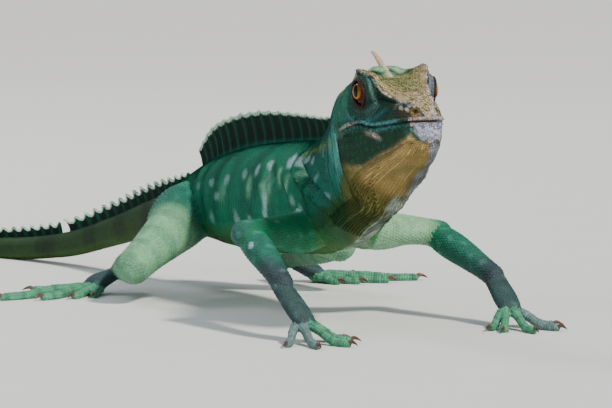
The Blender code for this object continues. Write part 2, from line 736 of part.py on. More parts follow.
def make_arm(mark, side, shoulder, elbow, wrist, knuckles, heading, trunk):
    upper = limb_node("upper_arm_" + mark, shoulder, elbow, UPPER_ARM_RADII, trunk, (0, 0, 0.8))
    bend = joint_inside(shoulder, elbow, UPPER_ARM_RADII[-1] * 1.4)
    fore = limb_node("forearm_" + mark, bend, wrist, FOREARM_RADII, [upper], (0, 0, 0.6))
    heel = joint_inside(elbow, wrist, FOREARM_RADII[-1] * 1.6)
    hand = paw("hand_" + mark, heel, knuckles, side, heading, HAND_DIGITS, HAND_KNUCKLE_HALF,
               HAND_CLAW, 3.6, [fore])
    return [upper, fore, hand]


def make_leg(mark, side, hip, knee, ankle, sole, heading, trunk):
    thigh = limb_node("thigh_" + mark, hip, knee, THIGH_RADII, trunk, (0, -2.0, 1.5), 1.05)
    bend = joint_inside(hip, knee, THIGH_RADII[-1] * 1.2)
    shank = limb_node("shank_" + mark, bend, ankle, SHANK_RADII, [thigh] + trunk, (0, 0, 0.5))
    heel = joint_inside(knee, ankle, SHANK_RADII[-1] * 1.4)
    foot = paw("foot_" + mark, heel, sole, side, heading, FOOT_DIGITS, FOOT_KNUCKLE_HALF,
               FOOT_CLAW, 3.5, [shank, thigh])
    return [thigh, shank, foot]


def stand_at_origin(nodes):
    """Origin at the middle of the footprint, at floor level."""
    corners = np.array([v.co[:] for node in nodes for v in node.data.vertices])
    low, high = corners.min(axis=0), corners.max(axis=0)
    move = Vector(((low[0] + high[0]) / -2, (low[1] + high[1]) / -2, -low[2]))
    for node in nodes:
        for vert in node.data.vertices:
            vert.co += move


def finish_shading(nodes):
    for node in nodes:
        node.data.shade_smooth()
        node.data.set_sharp_from_angle(angle=math.radians(50))


def build():
    clear_scene()
    head, eyes = make_head()
    neck = body_node("neck", HEAD_END, NECK_END, 6, AROUND, "neck")
    front = body_node("torso_front", NECK_END, TORSO_MID, 8, AROUND_BODY, "torso")
    rear = body_node("torso_rear", TORSO_MID, TORSO_END, 9, AROUND_BODY, "torso")
    tails = []
    for i, (first, last) in enumerate(zip(TAIL_PARTS, TAIL_PARTS[1:])):
        tails.append(body_node("tail_%d" % (i + 1), first, last, 3 * (last - first), AROUND_TAIL, "tail"))
    nodes = [head, neck, front, rear] + eyes + tails + make_crests()
    chest = [neck, front]
    nodes += make_arm("R", 1, SHOULDER_R, ELBOW_R, WRIST_R, KNUCKLES_R, HAND_HEADING_R, chest)
    nodes += make_arm("L", -1, SHOULDER_L, ELBOW_L, WRIST_L, KNUCKLES_L, HAND_HEADING_L, chest)
    pelvis = [rear, tails[0]]
    nodes += make_leg("R", 1, HIP_R, KNEE_R, ANKLE_R, SOLE_R, FOOT_HEADING_R, pelvis)
    nodes += make_leg("L", -1, HIP_L, KNEE_L, ANKLE_L, SOLE_L, FOOT_HEADING_L, pelvis)
    stand_at_origin(nodes)
    finish_shading(nodes)
    return nodes


build()
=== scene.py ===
"""Green basilisk, male, standing with raised head: skin, scales, eyes, claws, crests and sail.

Shapes are worked out in the animal's own millimetres and set into the shared frame.
The animal faces -Y and its right side is at -X.
"""
import itertools
import math
import bmesh
import bpy
import numpy as np
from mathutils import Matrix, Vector
from mathutils.bvhtree import BVHTree
from mathutils.kdtree import KDTree


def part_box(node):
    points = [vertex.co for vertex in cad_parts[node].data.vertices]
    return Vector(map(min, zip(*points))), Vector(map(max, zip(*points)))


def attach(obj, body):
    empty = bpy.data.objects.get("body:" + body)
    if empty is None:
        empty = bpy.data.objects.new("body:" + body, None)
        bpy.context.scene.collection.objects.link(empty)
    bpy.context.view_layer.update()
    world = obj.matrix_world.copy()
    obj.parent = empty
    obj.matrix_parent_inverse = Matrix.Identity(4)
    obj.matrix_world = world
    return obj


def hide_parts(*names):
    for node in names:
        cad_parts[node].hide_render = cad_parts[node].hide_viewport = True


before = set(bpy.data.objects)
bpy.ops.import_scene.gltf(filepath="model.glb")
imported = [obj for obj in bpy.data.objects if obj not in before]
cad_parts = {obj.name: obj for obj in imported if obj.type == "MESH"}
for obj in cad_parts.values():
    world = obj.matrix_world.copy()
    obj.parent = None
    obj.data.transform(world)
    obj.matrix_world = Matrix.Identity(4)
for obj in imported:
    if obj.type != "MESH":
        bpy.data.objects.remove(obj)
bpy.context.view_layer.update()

bl_info = {
    "name": "Green basilisk",
    "version": (1, 0, 0),
    "blender": (4, 5, 0),
    "location": "View3D > Sidebar > Basilisk",
    "description": "Builds the skin, scales, eyes, claws, crests and sail of a green basilisk",
    "category": "Object",
}

MM = 0.001
BUILT = {}

# Head: a local frame with u back from the snout, v to the side and w up
HEAD_TIP = (-5.0, 0.0, 71.5)
HEAD_PITCH = 6.0
STATION_U = (0.9, 4.5, 10.5, 17.0, 23.5, 30.0, 37.0, 45.0)
STATION_LEAN = (0.12, 0.10, 0.05, 0.03, 0.07, 0.13, 0.22, 0.32)
CROWN_HEIGHT = (4.4, 7.4, 10.2, 13.4, 15.6, 16.3, 14.6, 12.2)
THROAT_HEIGHT = (-5.4, -8.9, -13.0, -16.9, -20.4, -23.6, -26.6, -29.6)
MOUTH_INSET = (0.1, 0.1, 0.1, 0.1, 0.1, 0.1, 0.0, 0.0)
BROW_LINE = ((2.4, 4.1), (4.0, 7.4), (6.1, 10.8), (8.8, 15.2), (12.1, 19.7), (11.2, 17.2),
             (8.8, 12.8), (7.6, 10.2))
ORBIT_LINE = ((3.2, 3.4), (5.2, 5.8), (7.3, 8.4), (9.3, 11.9), (11.8, 15.6), (12.4, 13.9),
              (10.8, 9.6), (10.0, 6.8))
TEMPLE_LINE = ((3.7, 2.5), (5.8, 4.3), (8.0, 6.2), (9.9, 8.4), (12.0, 10.8), (13.4, 9.4),
               (12.6, 6.0), (11.5, 2.2))
CHEEK_LINE = ((4.2, 1.5), (6.6, 2.7), (9.0, 3.6), (11.2, 4.4), (13.2, 4.8), (14.4, 3.8),
              (13.8, 1.2), (12.3, -3.0))
UPPER_LIP_LINE = ((4.5, 0.6), (7.1, 0.8), (9.7, 0.9), (12.0, 0.9), (13.6, 0.4), (14.6, -0.8),
                  (14.2, -3.6), (12.5, -9.2))
LOWER_LIP_LINE = ((4.2, -0.6), (6.8, -0.8), (9.4, -0.9), (11.7, -1.1), (13.3, -1.9), (14.4, -3.4),
                  (14.0, -7.2), (12.2, -15.0))
JAW_LINE = ((4.1, -3.0), (6.6, -5.0), (9.0, -6.4), (11.0, -7.2), (12.7, -8.8), (13.6, -10.6),
            (13.2, -14.0), (11.2, -20.2))
UNDER_JAW_LINE = ((2.5, -4.8), (4.6, -7.9), (6.4, -11.4), (7.4, -14.2), (8.6, -17.2), (9.2, -20.0),
                  (9.0, -22.6), (8.0, -26.0))
NOSE_DEPTH = 1.27
NOSE_RINGS = 16

# Neck, torso and pelvis: y, x, back height, belly height, half width, tilt
TRUNK = (
    (53.0, -3.0, 70.8, 33.4, 12.2, 27.0),
    (67.0, 0.0, 64.6, 26.6, 13.8, 16.0),
    (84.0, 1.5, 60.2, 22.0, 15.8, 8.0),
    (108.0, 1.5, 58.0, 19.6, 17.0, 4.0),
    (134.0, 0.5, 55.2, 18.0, 16.8, 2.0),
    (157.0, -1.0, 50.6, 18.4, 14.2, 3.0),
    (173.0, -2.0, 45.6, 19.2, 12.0, 5.0),
    (188.0, -2.5, 40.0, 19.6, 9.4, 9.0),
)
RING_ANGLES = (0, 15, 30, 43, 57, 72, 88, 96, 105, 120, 143, 180)
TRUNK_SQUARENESS = 0.92
TAIL_LENGTH = 470.0
TAIL_STATIONS = (18, 40, 65, 95, 130, 170, 215, 265, 320, 375, 430, 470)
TAIL_BENDS = ((0, 3), (80, 10), (170, 34), (260, 32), (350, -8), (470, -62))
TAIL_BASE_HALF_HEIGHT = 10.3
TAIL_TIP_HALF_HEIGHT = 0.8
TAIL_WIDTH_RATIO = 0.88
TAIL_DROP = 19.3
TAIL_DROP_LENGTH = 130.0
TAIL_PRESS = 0.22

# Rows of the fine net: first row, last row and how many steps
ROW_RUNS = ((0.0, 7.0, 136), (7.0, 9.0, 44), (9.0, 15.0, 150), (15.0, 27.0, 330))
HALF_COLUMNS = 128
COARSE_FROM = 8.6               # every second column is kept from here on
COARSER_FROM = 17.5             # and every fourth from here on

# Eyes, nostrils and ears
SOLID_EYE = (22.5, 9.0, 10.8)   # where the solid eyes have their middle
EYE_CENTRE = (22.1, 9.0, 10.2)
EYE_RADIUS = 5.2
LID_RADIUS = 6.1
LID_BLEND = 1.3
EYE_OPENING = (4.0, 4.45)
OPENING_DROP = 0.5             # the lids' opening sits this far under the eye's middle
EYE_TURN_LEFT = 22.0            # the left eye looks this much further ahead, in degrees
# Around value of the brow's edge by row on the right side
BROW_EDGE_ROWS = (0.9, 1.54, 2.06, 2.83, 3.24, 3.81, 4.4, 4.9)
BROW_EDGE_PLACES = (2.3, 2.7, 3.0, 3.12, 2.85, 2.5, 2.15, 2.05)
BROW_EDGE_STRAIGHT = 2.02
NOSTRIL = (1.7, 3.8, 2.6)
EAR_CENTRE = (37.5, 13.9, -0.5)
EAR_RADII = (2.5, 3.2)

# Crests and sail
FRONT_CREST_ROW = 4.32
FRONT_CREST_TIP = (36.4, -0.3, 23.7)
REAR_CREST_ROWS = (5.5, 7.9)
REAR_CREST_HEIGHTS = (1.2, 6.4, 8.8, 9.6, 9.4, 8.2, 5.2)
REAR_CREST_LEAN = 44.0
REAR_CREST_RAYS = 6
SAIL_ROWS = (8.6, 14.35)
SAIL_RAYS = 21
SAIL_HEIGHTS = (2.5, 6.2, 8.0, 9.6, 11.4, 12.8, 13.4, 12.6, 8.0)
SAIL_RAKE = 24.0
TAIL_CREST_RAYS = (16, 18)
TAIL_CREST_ROWS = ((15.15, 18.9), (19.1, 21.9))
TAIL_CREST_HEIGHTS = ((3.0, 6.2, 6.0, 5.0), (4.8, 4.0, 3.0, 1.4))
CREST_SINK = 0.9                # how deep a crest's foot is set in the skin

# Limbs
UPPER_ARM_RADII = (6.0, 5.6, 4.9, 4.5, 4.5)
FOREARM_RADII = (4.3, 4.8, 4.3, 3.6, 3.4)
THIGH_RADII = (9.5, 9.4, 8.0, 6.3, 5.6)
SHANK_RADII = (5.0, 5.4, 4.6, 3.6, 3.3)
HAND_DIGITS = ((68, 9.0, 1.25, 1.0), (46, 13.5, 1.3, 0.55), (18, 18.5, 1.35, 0.05),
               (-12, 18.0, 1.35, -0.5), (-42, 12.5, 1.25, -1.0))
HAND_KNUCKLE_HALF = 3.6
FOOT_DIGITS = ((34, 11.0, 1.35, 1.0), (18, 17.0, 1.4, 0.6), (4, 26.0, 1.45, 0.15),
               (-10, 37.0, 1.5, -0.35), (-52, 19.0, 1.35, -1.0))
FOOT_KNUCKLE_HALF = 4.0
HAND_CLAW = 4.0
FOOT_CLAW = 4.4
PAD_PRESS = 0.34
DIGIT_SWELLS = (1.05, 1.12, 0.94, 0.9, 0.98, 0.88)

SKIN_DEPTH = 0.14               # the skin lies this far under the scales' tops
LIMB_VOXEL = 0.55
SKIN_FIT = 0.9                  # a scale is kept where its place is this near to the skin
ROOT_ZONE = 30.0                # scales are spaced anew this near to a limb's root
ROOT_FIT = 4.5                  # and may there be set this far from where they were laid out
ROOT_BLEND = 7.0                # skin is evened out this far round the line where a limb starts
FLESH = ("head", "neck", "torso_front", "torso_rear", "tail_1", "tail_2", "tail_3", "tail_4",
         "upper_arm_R", "forearm_R", "hand_R", "thigh_R", "shank_R", "foot_R",
         "upper_arm_L", "forearm_L", "hand_L", "thigh_L", "shank_L", "foot_L")

# Camera, in the animal's millimetres
CAMERA_PLACE = (-503.7, -956.8, 137.57)
CAMERA_AZIMUTH = -25.494
CAMERA_DROP = 4.902
CAMERA_LENS = 203.82


# Curves and the body net
def smooth(x):
    x = np.clip(x, 0.0, 1.0)
    return x * x * (3 - 2 * x)


def above(x, low, soft):
    """0 up to low, rising to 1 over soft."""
    return smooth((x - low) / soft)


def below(x, high, soft):
    """0 from high on, rising to 1 over soft under it."""
    return smooth((high - x) / soft)


def band(x, low, high, soft):
    """1 between low and high, fading over soft at both ends."""
    return smooth((x - low) / soft + 0.5) * smooth((high - x) / soft + 0.5)


def ridge(x, centre, width):
    return np.exp(-((x - centre) / width) ** 2)


def unit(vector):
    vector = np.asarray(vector, float)
    return vector / np.maximum(np.linalg.norm(vector, axis=-1, keepdims=True), 1e-9)


def spline(points, at):
    pts = np.asarray(points, float)
    if pts.ndim == 1:
        pts = pts[:, None]
    last = len(pts) - 1
    ext = np.vstack([2 * pts[0] - pts[1], pts, 2 * pts[-1] - pts[-2]])
    at = np.clip(np.atleast_1d(np.asarray(at, float)), 0.0, last)
    cell = np.minimum(at.astype(int), last - 1)
    f = (at - cell)[:, None]
    p0, p1, p2, p3 = (ext[cell + k] for k in range(4))
    return 0.5 * (2 * p1 + (p2 - p0) * f + (2 * p0 - 5 * p1 + 4 * p2 - p3) * f ** 2
                  + (3 * p1 - p0 - 3 * p2 + p3) * f ** 3)


def profile(values, fractions):
    return spline(values, np.asarray(fractions, float) * (len(values) - 1))[:, 0]


def run_along(line):
    """Distance along a line of points, from 0 at its start."""
    return np.concatenate([[0.0], np.cumsum(lengths(np.diff(line, axis=0)))])


def lengths(vectors):
    return np.linalg.norm(vectors, axis=1)


def step_at(run, at):
    """The step of a run that a distance falls in, and the share of that step."""
    i = int(np.clip(np.searchsorted(run, at) - 1, 0, len(run) - 2))
    return i, (at - run[i]) / max(run[i + 1] - run[i], 1e-6)


def gather(found, n):
    return np.array([one[n] for one in found])


def head_point(u, v, w):
    pitch = math.radians(HEAD_PITCH)
    return np.array([HEAD_TIP[0] + v,
                     HEAD_TIP[1] + u * math.cos(pitch) + w * math.sin(pitch),
                     HEAD_TIP[2] - u * math.sin(pitch) + w * math.cos(pitch)])


def head_local(points):
    """u, v and w of points given in the animal's millimetres."""
    pitch = math.radians(HEAD_PITCH)
    y = points[..., 1] - HEAD_TIP[1]
    z = points[..., 2] - HEAD_TIP[2]
    return (y * math.cos(pitch) - z * math.sin(pitch), points[..., 0] - HEAD_TIP[0],
            y * math.sin(pitch) + z * math.cos(pitch))


def head_row(i):
    crown, brow = CROWN_HEIGHT[i], BROW_LINE[i]
    upper, lower = UPPER_LIP_LINE[i], LOWER_LIP_LINE[i]
    crown_side = (brow[0] * 0.5, crown + (brow[1] - crown) * 0.3)
    mouth = ((upper[0] + lower[0]) / 2 - MOUTH_INSET[i], (upper[1] + lower[1]) / 2)
    section = ((0.0, crown), crown_side, brow, ORBIT_LINE[i], TEMPLE_LINE[i], CHEEK_LINE[i], upper,
               mouth, lower, JAW_LINE[i], UNDER_JAW_LINE[i], (0.0, THROAT_HEIGHT[i]))
    return np.array([head_point(STATION_U[i] + STATION_LEAN[i] * w, v, w) for v, w in section])


def ring_row(centre, back, up, half_width, half_height, squareness):
    side = unit(np.cross(back, up))
    if side[0] < 0:
        side = -side
    row = []
    for angle in RING_ANGLES:
        s, c = math.sin(math.radians(angle)), math.cos(math.radians(angle))
        v = half_width * abs(s) ** squareness
        h = half_height * math.copysign(abs(c) ** squareness, c)
        row.append(centre + side * v + up * h)
    return np.array(row)


def trunk_row(i):
    y, x, top, bottom, half_width, tilt = TRUNK[i]
    ahead, behind = TRUNK[max(i - 1, 0)], TRUNK[min(i + 1, len(TRUNK) - 1)]
    back = unit((behind[1] - ahead[1], behind[0] - ahead[0], 0.0))
    t = math.radians(tilt)
    up = back * math.sin(t) + np.array([0.0, 0.0, math.cos(t)])
    half_height = (top - bottom) / 2 / math.cos(t)
    return ring_row(np.array([x, y, (top + bottom) / 2]), back, up, half_width, half_height,
                    TRUNK_SQUARENESS)


def tail_half_height(s):
    f = s / TAIL_LENGTH
    taper = 0.5 * (1 - f) + 0.5 * math.exp(-s / 30.0)
    return TAIL_TIP_HALF_HEIGHT + (TAIL_BASE_HALF_HEIGHT - TAIL_TIP_HALF_HEIGHT) * taper


def tail_centre_height(s):
    f = min(s / TAIL_DROP_LENGTH, 1.0)
    return tail_half_height(s) - TAIL_PRESS + TAIL_DROP * (1 - f * f * (3 - 2 * f))


def tail_rows():
    base = TRUNK[-1]
    place = np.array([base[1], base[0], 0.0])
    bends = np.array(TAIL_BENDS, float)
    rows, step, s = [], 1.0, 0.0
    stations = list(TAIL_STATIONS)
    while stations:
        heading = math.radians(float(np.interp(s, bends[:, 0], bends[:, 1])))
        back = np.array([-math.sin(heading), math.cos(heading), 0.0])
        place = place + back * step
        s += step
        if s >= stations[0]:
            stations.pop(0)
            slope = math.atan(tail_centre_height(s - 2) - tail_centre_height(s + 2)) / 4
            up = back * math.sin(slope) + np.array([0.0, 0.0, math.cos(slope)])
            half = tail_half_height(s)
            centre = np.array([place[0], place[1], tail_centre_height(s)])
            rows.append(ring_row(centre, back, up, half * TAIL_WIDTH_RATIO, half, 1.0))
    return rows


NET = np.array([head_row(i) for i in range(len(STATION_U))]
               + [trunk_row(i) for i in range(len(TRUNK))] + tail_rows())


def net_ring(row, around):
    half = spline(NET.reshape(len(NET), -1), row)[0].reshape(-1, 3)
    centre_line = (half[0] + half[-1]) / 2
    axis = half[0] - half[-1]
    side = unit(half[4] - centre_line - axis * np.dot(half[4] - centre_line, axis) / np.dot(axis, axis))
    mirrored = half - 2 * np.outer((half - centre_line) @ side, side)
    padded = np.vstack([mirrored[2:0:-1], half, mirrored[-2:-4:-1]])
    left = spline(padded, np.asarray(around) + 2)
    right = left - 2 * np.outer((left - centre_line) @ side, side)
    return np.vstack([left, right[-2:0:-1]])


def net_frame(row):
    ring = net_ring(row, (0, 4, 11))
    up = unit(ring[0] - ring[2])
    side = unit(ring[1] - ring[3])
    ahead, behind = net_ring(max(row - 0.05, 0), (0, 11))[0], net_ring(row + 0.05, (0, 11))[0]
    return ring[0], up, side, unit(behind - ahead)


def eye_centre(side):
    u, v, w = EYE_CENTRE
    return head_point(u, side * v, w)


def opening_place(local):
    """How far out a point lies in the lids' opening: 1 at the lids' edge; and its turn."""
    high = local[..., 2] + OPENING_DROP
    q = np.sqrt((local[..., 0] / EYE_OPENING[0]) ** 2 + (high / EYE_OPENING[1]) ** 2)
    return q, np.arctan2(high, -local[..., 0])


def head_axes(side):
    origin = head_point(0, 0, 0)
    return np.array([head_point(1, 0, 0) - origin, (side, 0.0, 0.0), head_point(0, 0, 1) - origin])


def eye_axes(side):
    """Back, outward and upward directions of one eye; the left eye is turned ahead."""
    back, out, up = head_axes(side)
    if side < 0:
        return np.array([back, out, up])
    turn = math.radians(EYE_TURN_LEFT)
    return np.array([back * math.cos(turn) + out * math.sin(turn),
                     out * math.cos(turn) - back * math.sin(turn), up])


def brow_edge(row, side):
    """Around value of the brow's edge, lower down between the eye and the nostril."""
    right = np.interp(row, BROW_EDGE_ROWS, BROW_EDGE_PLACES)
    return np.where(np.asarray(side) < 0, right, (right + BROW_EDGE_STRAIGHT) / 2)


def frame_shift():
    """From the animal's own zero to the shared frame, read at the left eye's middle."""
    low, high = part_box("eye_L")
    middle = (np.array(low[:]) + np.array(high[:])) / 2
    return middle - head_point(*SOLID_EYE) * MM


SHIFT = frame_shift()


def into_frame(points):
    return np.asarray(points, float) * MM + SHIFT


def out_of_frame(points):
    return (np.asarray(points, float) - SHIFT) / MM


# Meshes
def make_object(name, points, faces, finish=None):
    """A mesh object from points in the animal's millimetres."""
    mesh = bpy.data.meshes.new(name)
    placed = into_frame(points)
    if isinstance(faces, np.ndarray):
        mesh.vertices.add(len(placed))
        mesh.vertices.foreach_set("co", placed.astype(np.float32).ravel())
        mesh.loops.add(faces.size)
        mesh.loops.foreach_set("vertex_index", faces.astype(np.int32).ravel())
        mesh.polygons.add(len(faces))
        starts = np.arange(0, faces.size, faces.shape[1], dtype=np.int32)
        mesh.polygons.foreach_set("loop_start", starts)
        mesh.update(calc_edges=True)
    else:
        mesh.from_pydata([tuple(p) for p in placed], [], faces)
        mesh.update()
    mesh.shade_smooth()
    if finish is not None:
        mesh.materials.append(finish)
    made = bpy.data.objects.new(name, mesh)
    bpy.context.scene.collection.objects.link(made)
    return made


def on_floor(points):
    points[..., 2] = np.maximum(points[..., 2], 0.0)
    return points


def mesh_points(thing):
    flat = np.empty(len(thing.data.vertices) * 3, np.float32)
    thing.data.vertices.foreach_get("co", flat)
    return out_of_frame(flat.reshape(-1, 3))


def set_points(thing, points):
    placed = into_frame(points).astype(np.float32)
    thing.data.vertices.foreach_set("co", placed.ravel())
    thing.data.update()


def mesh_edges(thing):
    flat = np.empty(len(thing.data.edges) * 2, np.int32)
    thing.data.edges.foreach_get("vertices", flat)
    return flat.reshape(-1, 2)


def turn_outward(thing):
    shape = bmesh.new()
    shape.from_mesh(thing.data)
    bmesh.ops.recalc_face_normals(shape, faces=shape.faces)
    shape.to_mesh(thing.data)
    shape.free()


def outward_object(name, points, faces, finish=None):
    made = make_object(name, points, faces, finish)
    turn_outward(made)
    return made


def remove_object(thing):
    mesh = thing.data
    bpy.data.objects.remove(thing, do_unlink=True)
    bpy.data.meshes.remove(mesh)


def apply_modifiers(thing):
    bpy.context.view_layer.update()
    graph = bpy.context.evaluated_depsgraph_get()
    result = bpy.data.meshes.new_from_object(thing.evaluated_get(graph))
    thing.modifiers.clear()
    old = thing.data
    thing.data = result
    bpy.data.meshes.remove(old)


def apply_boolean(target, others, operation):
    group = bpy.data.collections.new("operands")
    bpy.context.scene.collection.children.link(group)
    for other in others:
        for old in list(other.users_collection):
            old.objects.unlink(other)
        group.objects.link(other)
    change = target.modifiers.new("join", "BOOLEAN")
    change.operation = operation
    change.operand_type = "COLLECTION"
    change.collection = group
    change.solver = "MANIFOLD"
    apply_modifiers(target)
    for other in others:
        remove_object(other)
    bpy.data.collections.remove(group)


def relax(points, edges, weight, rounds):
    """Evens out a surface where weight is above 0."""
    count = len(points)
    degree = np.bincount(edges.ravel(), minlength=count).astype(float)
    weight = weight[:, None]
    for _ in range(rounds):
        total = np.empty((count, 3))
        for axis in range(3):
            total[:, axis] = (np.bincount(edges[:, 0], points[edges[:, 1], axis], count)
                              + np.bincount(edges[:, 1], points[edges[:, 0], axis], count))
        mean = total / np.maximum(degree, 1)[:, None]
        points = points + (mean - points) * weight * 0.5
    return points


def oval(centre, across, deep, wide, tall, count, start=0.0):
    """One ring of points round a centre."""
    turns = 2 * math.pi * (np.arange(count) + start) / count
    return centre + np.outer(np.cos(turns) * wide, across) + np.outer(np.sin(turns) * tall, deep)


def ring_faces(count, first, second):
    """Quads between two equal rings that start at the given vertex numbers."""
    j = np.arange(count)
    k = (j + 1) % count
    return np.stack([first + j, first + k, second + k, second + j], axis=1).tolist()


def loft(rings, start=None, end=None):
    rings = [np.asarray(r) for r in rings]
    count = len(rings[0])
    verts = [tuple(p) for ring in rings for p in ring]
    faces = []
    for i in range(len(rings) - 1):
        faces += ring_faces(count, i * count, (i + 1) * count)
    for row, tip in ((0, start), (len(rings) - 1, end)):
        tip = rings[row].mean(axis=0) if tip is None else np.asarray(tip)
        verts.append(tuple(tip))
        hub = len(verts) - 1
        faces += [(row * count + j, row * count + (j + 1) % count, hub) for j in range(count)]
    return np.array(verts), faces


def ellipsoid(centre, radii, axes, segments=48, rings=32):
    loops = []
    for i in range(1, rings):
        polar = math.pi * i / rings
        turns = 2 * math.pi * np.arange(segments) / segments
        local = np.stack([math.sin(polar) * np.cos(turns) * radii[0],
                          math.sin(polar) * np.sin(turns) * radii[1],
                          np.full(segments, math.cos(polar) * radii[2])], axis=1)
        loops.append(np.asarray(centre) + local @ axes)
    pole = np.array([0, 0, radii[2]]) @ axes
    return loft(loops, np.asarray(centre) + pole, np.asarray(centre) - pole)


# The fine net: every row and column with its place on the body
def column_places():
    """Around values spread evenly over the head's girth, closer at the brow and the lips."""
    dense = np.linspace(0, 11, 2000)
    ring = net_ring(3.4, dense)[:len(dense)]
    steps = np.linalg.norm(np.diff(ring, axis=0), axis=1)
    middle = (dense[1:] + dense[:-1]) / 2
    steps = steps * (1 + 0.9 * ridge(middle, 7.0, 0.9) + 0.6 * ridge(middle, 2.2, 0.7))
    run = np.concatenate([[0.0], np.cumsum(steps)])
    return np.interp(np.linspace(0, run[-1], HALF_COLUMNS + 1), run, dense)


def fine_rows():
    rows = [np.linspace(a, b, n + 1)[(1 if i else 0):] for i, (a, b, n) in enumerate(ROW_RUNS)]
    return np.concatenate(rows)


def grid_normals(points):
    along = np.gradient(points, axis=0)
    across = np.roll(points, -1, axis=1) - np.roll(points, 1, axis=1)
    return unit(np.cross(across, along))


def fine_net():
    """Points, rows, around values and sides of the whole trunk, nose to tail."""
    around = column_places()
    rows = fine_rows()
    rings = [net_ring(row, around) for row in rows]
    first = rings[0]
    middle = first.mean(axis=0)
    front = head_point(0.0, 0.0, -0.2)
    nose = []
    for j in range(1, NOSE_RINGS + 1):
        reach = math.sin(math.pi / 2 * j / (NOSE_RINGS + 0.5))
        shrink = (1 - reach) ** 0.62 if j > 1 else 0.93
        nose.append(middle + (first - middle) * shrink
                    + (front - middle) * NOSE_DEPTH * (1 - shrink ** 1.7))
    points = np.array(nose[::-1] + rings)
    rows = np.concatenate([-np.arange(NOSE_RINGS, 0, -1) / NOSE_RINGS, rows])
    columns = np.concatenate([around, around[-2:0:-1]])
    sides = np.concatenate([np.ones(len(around)), -np.ones(len(around) - 2)])
    return points, rows, columns, sides


MOUTH_PLACES = (0.0, 2.0, 4.0, 7.0, 9.0, 11.0, 13.5, 15.8, 17.5, 19.0, 20.4, 22.0, 24.0, 26.0,
                29.0, 31.5, 34.0)
MOUTH_HEIGHTS = (-0.45, -0.4, -0.5, -0.65, -0.85, -1.1, -1.35, -1.4, -1.2, -0.8, -0.4, -0.1, -0.05, -0.25,
                 -0.85, -1.35, -1.9)


def mouth_height(u):
    """Height of the mouth line in the head's frame at a distance back from the snout."""
    return np.interp(u, MOUTH_PLACES, MOUTH_HEIGHTS)


def press_lines(points, normals):
    """The creases, pressed in on both sides."""
    moved = np.zeros(points.shape[:2])
    BUILT["fold_spots"] = []
    for path, width, *depths in CREASES:
        for side, depth in zip((-1, 1), depths):
            spots = line_spots(path, side, points)
            # the wider creases are kept for painted shade along them
            if width > 1.0:
                BUILT["fold_spots"].append((spots, 0.95, min(0.3 * depth, 0.85)))
            near, gap, ends = beside(points.reshape(-1, 3), spots, 4 * width)
            lip = depth * 0.45 * np.exp(-((gap - 2.2 * width) / width) ** 2)
            moved.reshape(-1)[near] += (lip - depth * np.exp(-(gap / width) ** 2)) * ends ** 0.5
    return points + normals * moved[..., None]


def nearest_cell(rows, columns, sides, row, around, side):
    i = int(np.abs(rows - row).argmin())
    half = np.nonzero(sides == side)[0] if side < 0 else np.arange(HALF_COLUMNS + 1)
    return i, int(half[np.abs(columns[half] - around).argmin()])


# Creases in the skin: places as (row, around), width, and depth on the right and the left side
CREASES = (
    (((9.6, 4.4), (9.38, 4.95), (8.95, 6.0), (8.64, 7.0), (8.42, 8.0), (8.16, 8.9), (8.05, 9.5)),
     1.6, 3.0, 2.8),
    (((7.3, 5.0), (7.36, 5.9), (7.4, 6.8), (7.38, 8.0), (7.4, 8.8)), 1.2, 1.2, 1.2),
    (((10.7, 4.4), (10.5, 4.95), (10.2, 5.7), (10.05, 6.8), (9.86, 8.0), (9.75, 8.8)), 1.9, 1.1, 1.1),
    (((13.6, 5.5), (13.9, 7.5), (14.2, 9.0)), 1.4, 1.2, 1.2),
    (((3.4, 9.75), (4.6, 10.0), (5.3, 10.3), (5.9, 10.5), (6.8, 10.7), (7.6, 10.85)), 0.6, 0.8, 0.6),
    (((5.9, 9.5), (6.33, 9.75), (6.6, 10.2), (7.2, 10.4)), 0.6, 0.7, 0.6),
)


def lid_folds(q, turn):
    """Strength of the rings of folds round the eye, strongest above, before and under it."""
    front = 0.6 + 0.4 * np.cos(turn - 0.9)
    under = ridge(np.abs(turn), 1.9, 0.9) * (turn < 0)
    rings = 0.75 * ridge(q, 1.26, 0.045) + ridge(q, 1.46, 0.05) + ridge(q, 1.68, 0.06)
    return rings * front + ridge(q, 1.95, 0.07) * np.maximum(front, under)


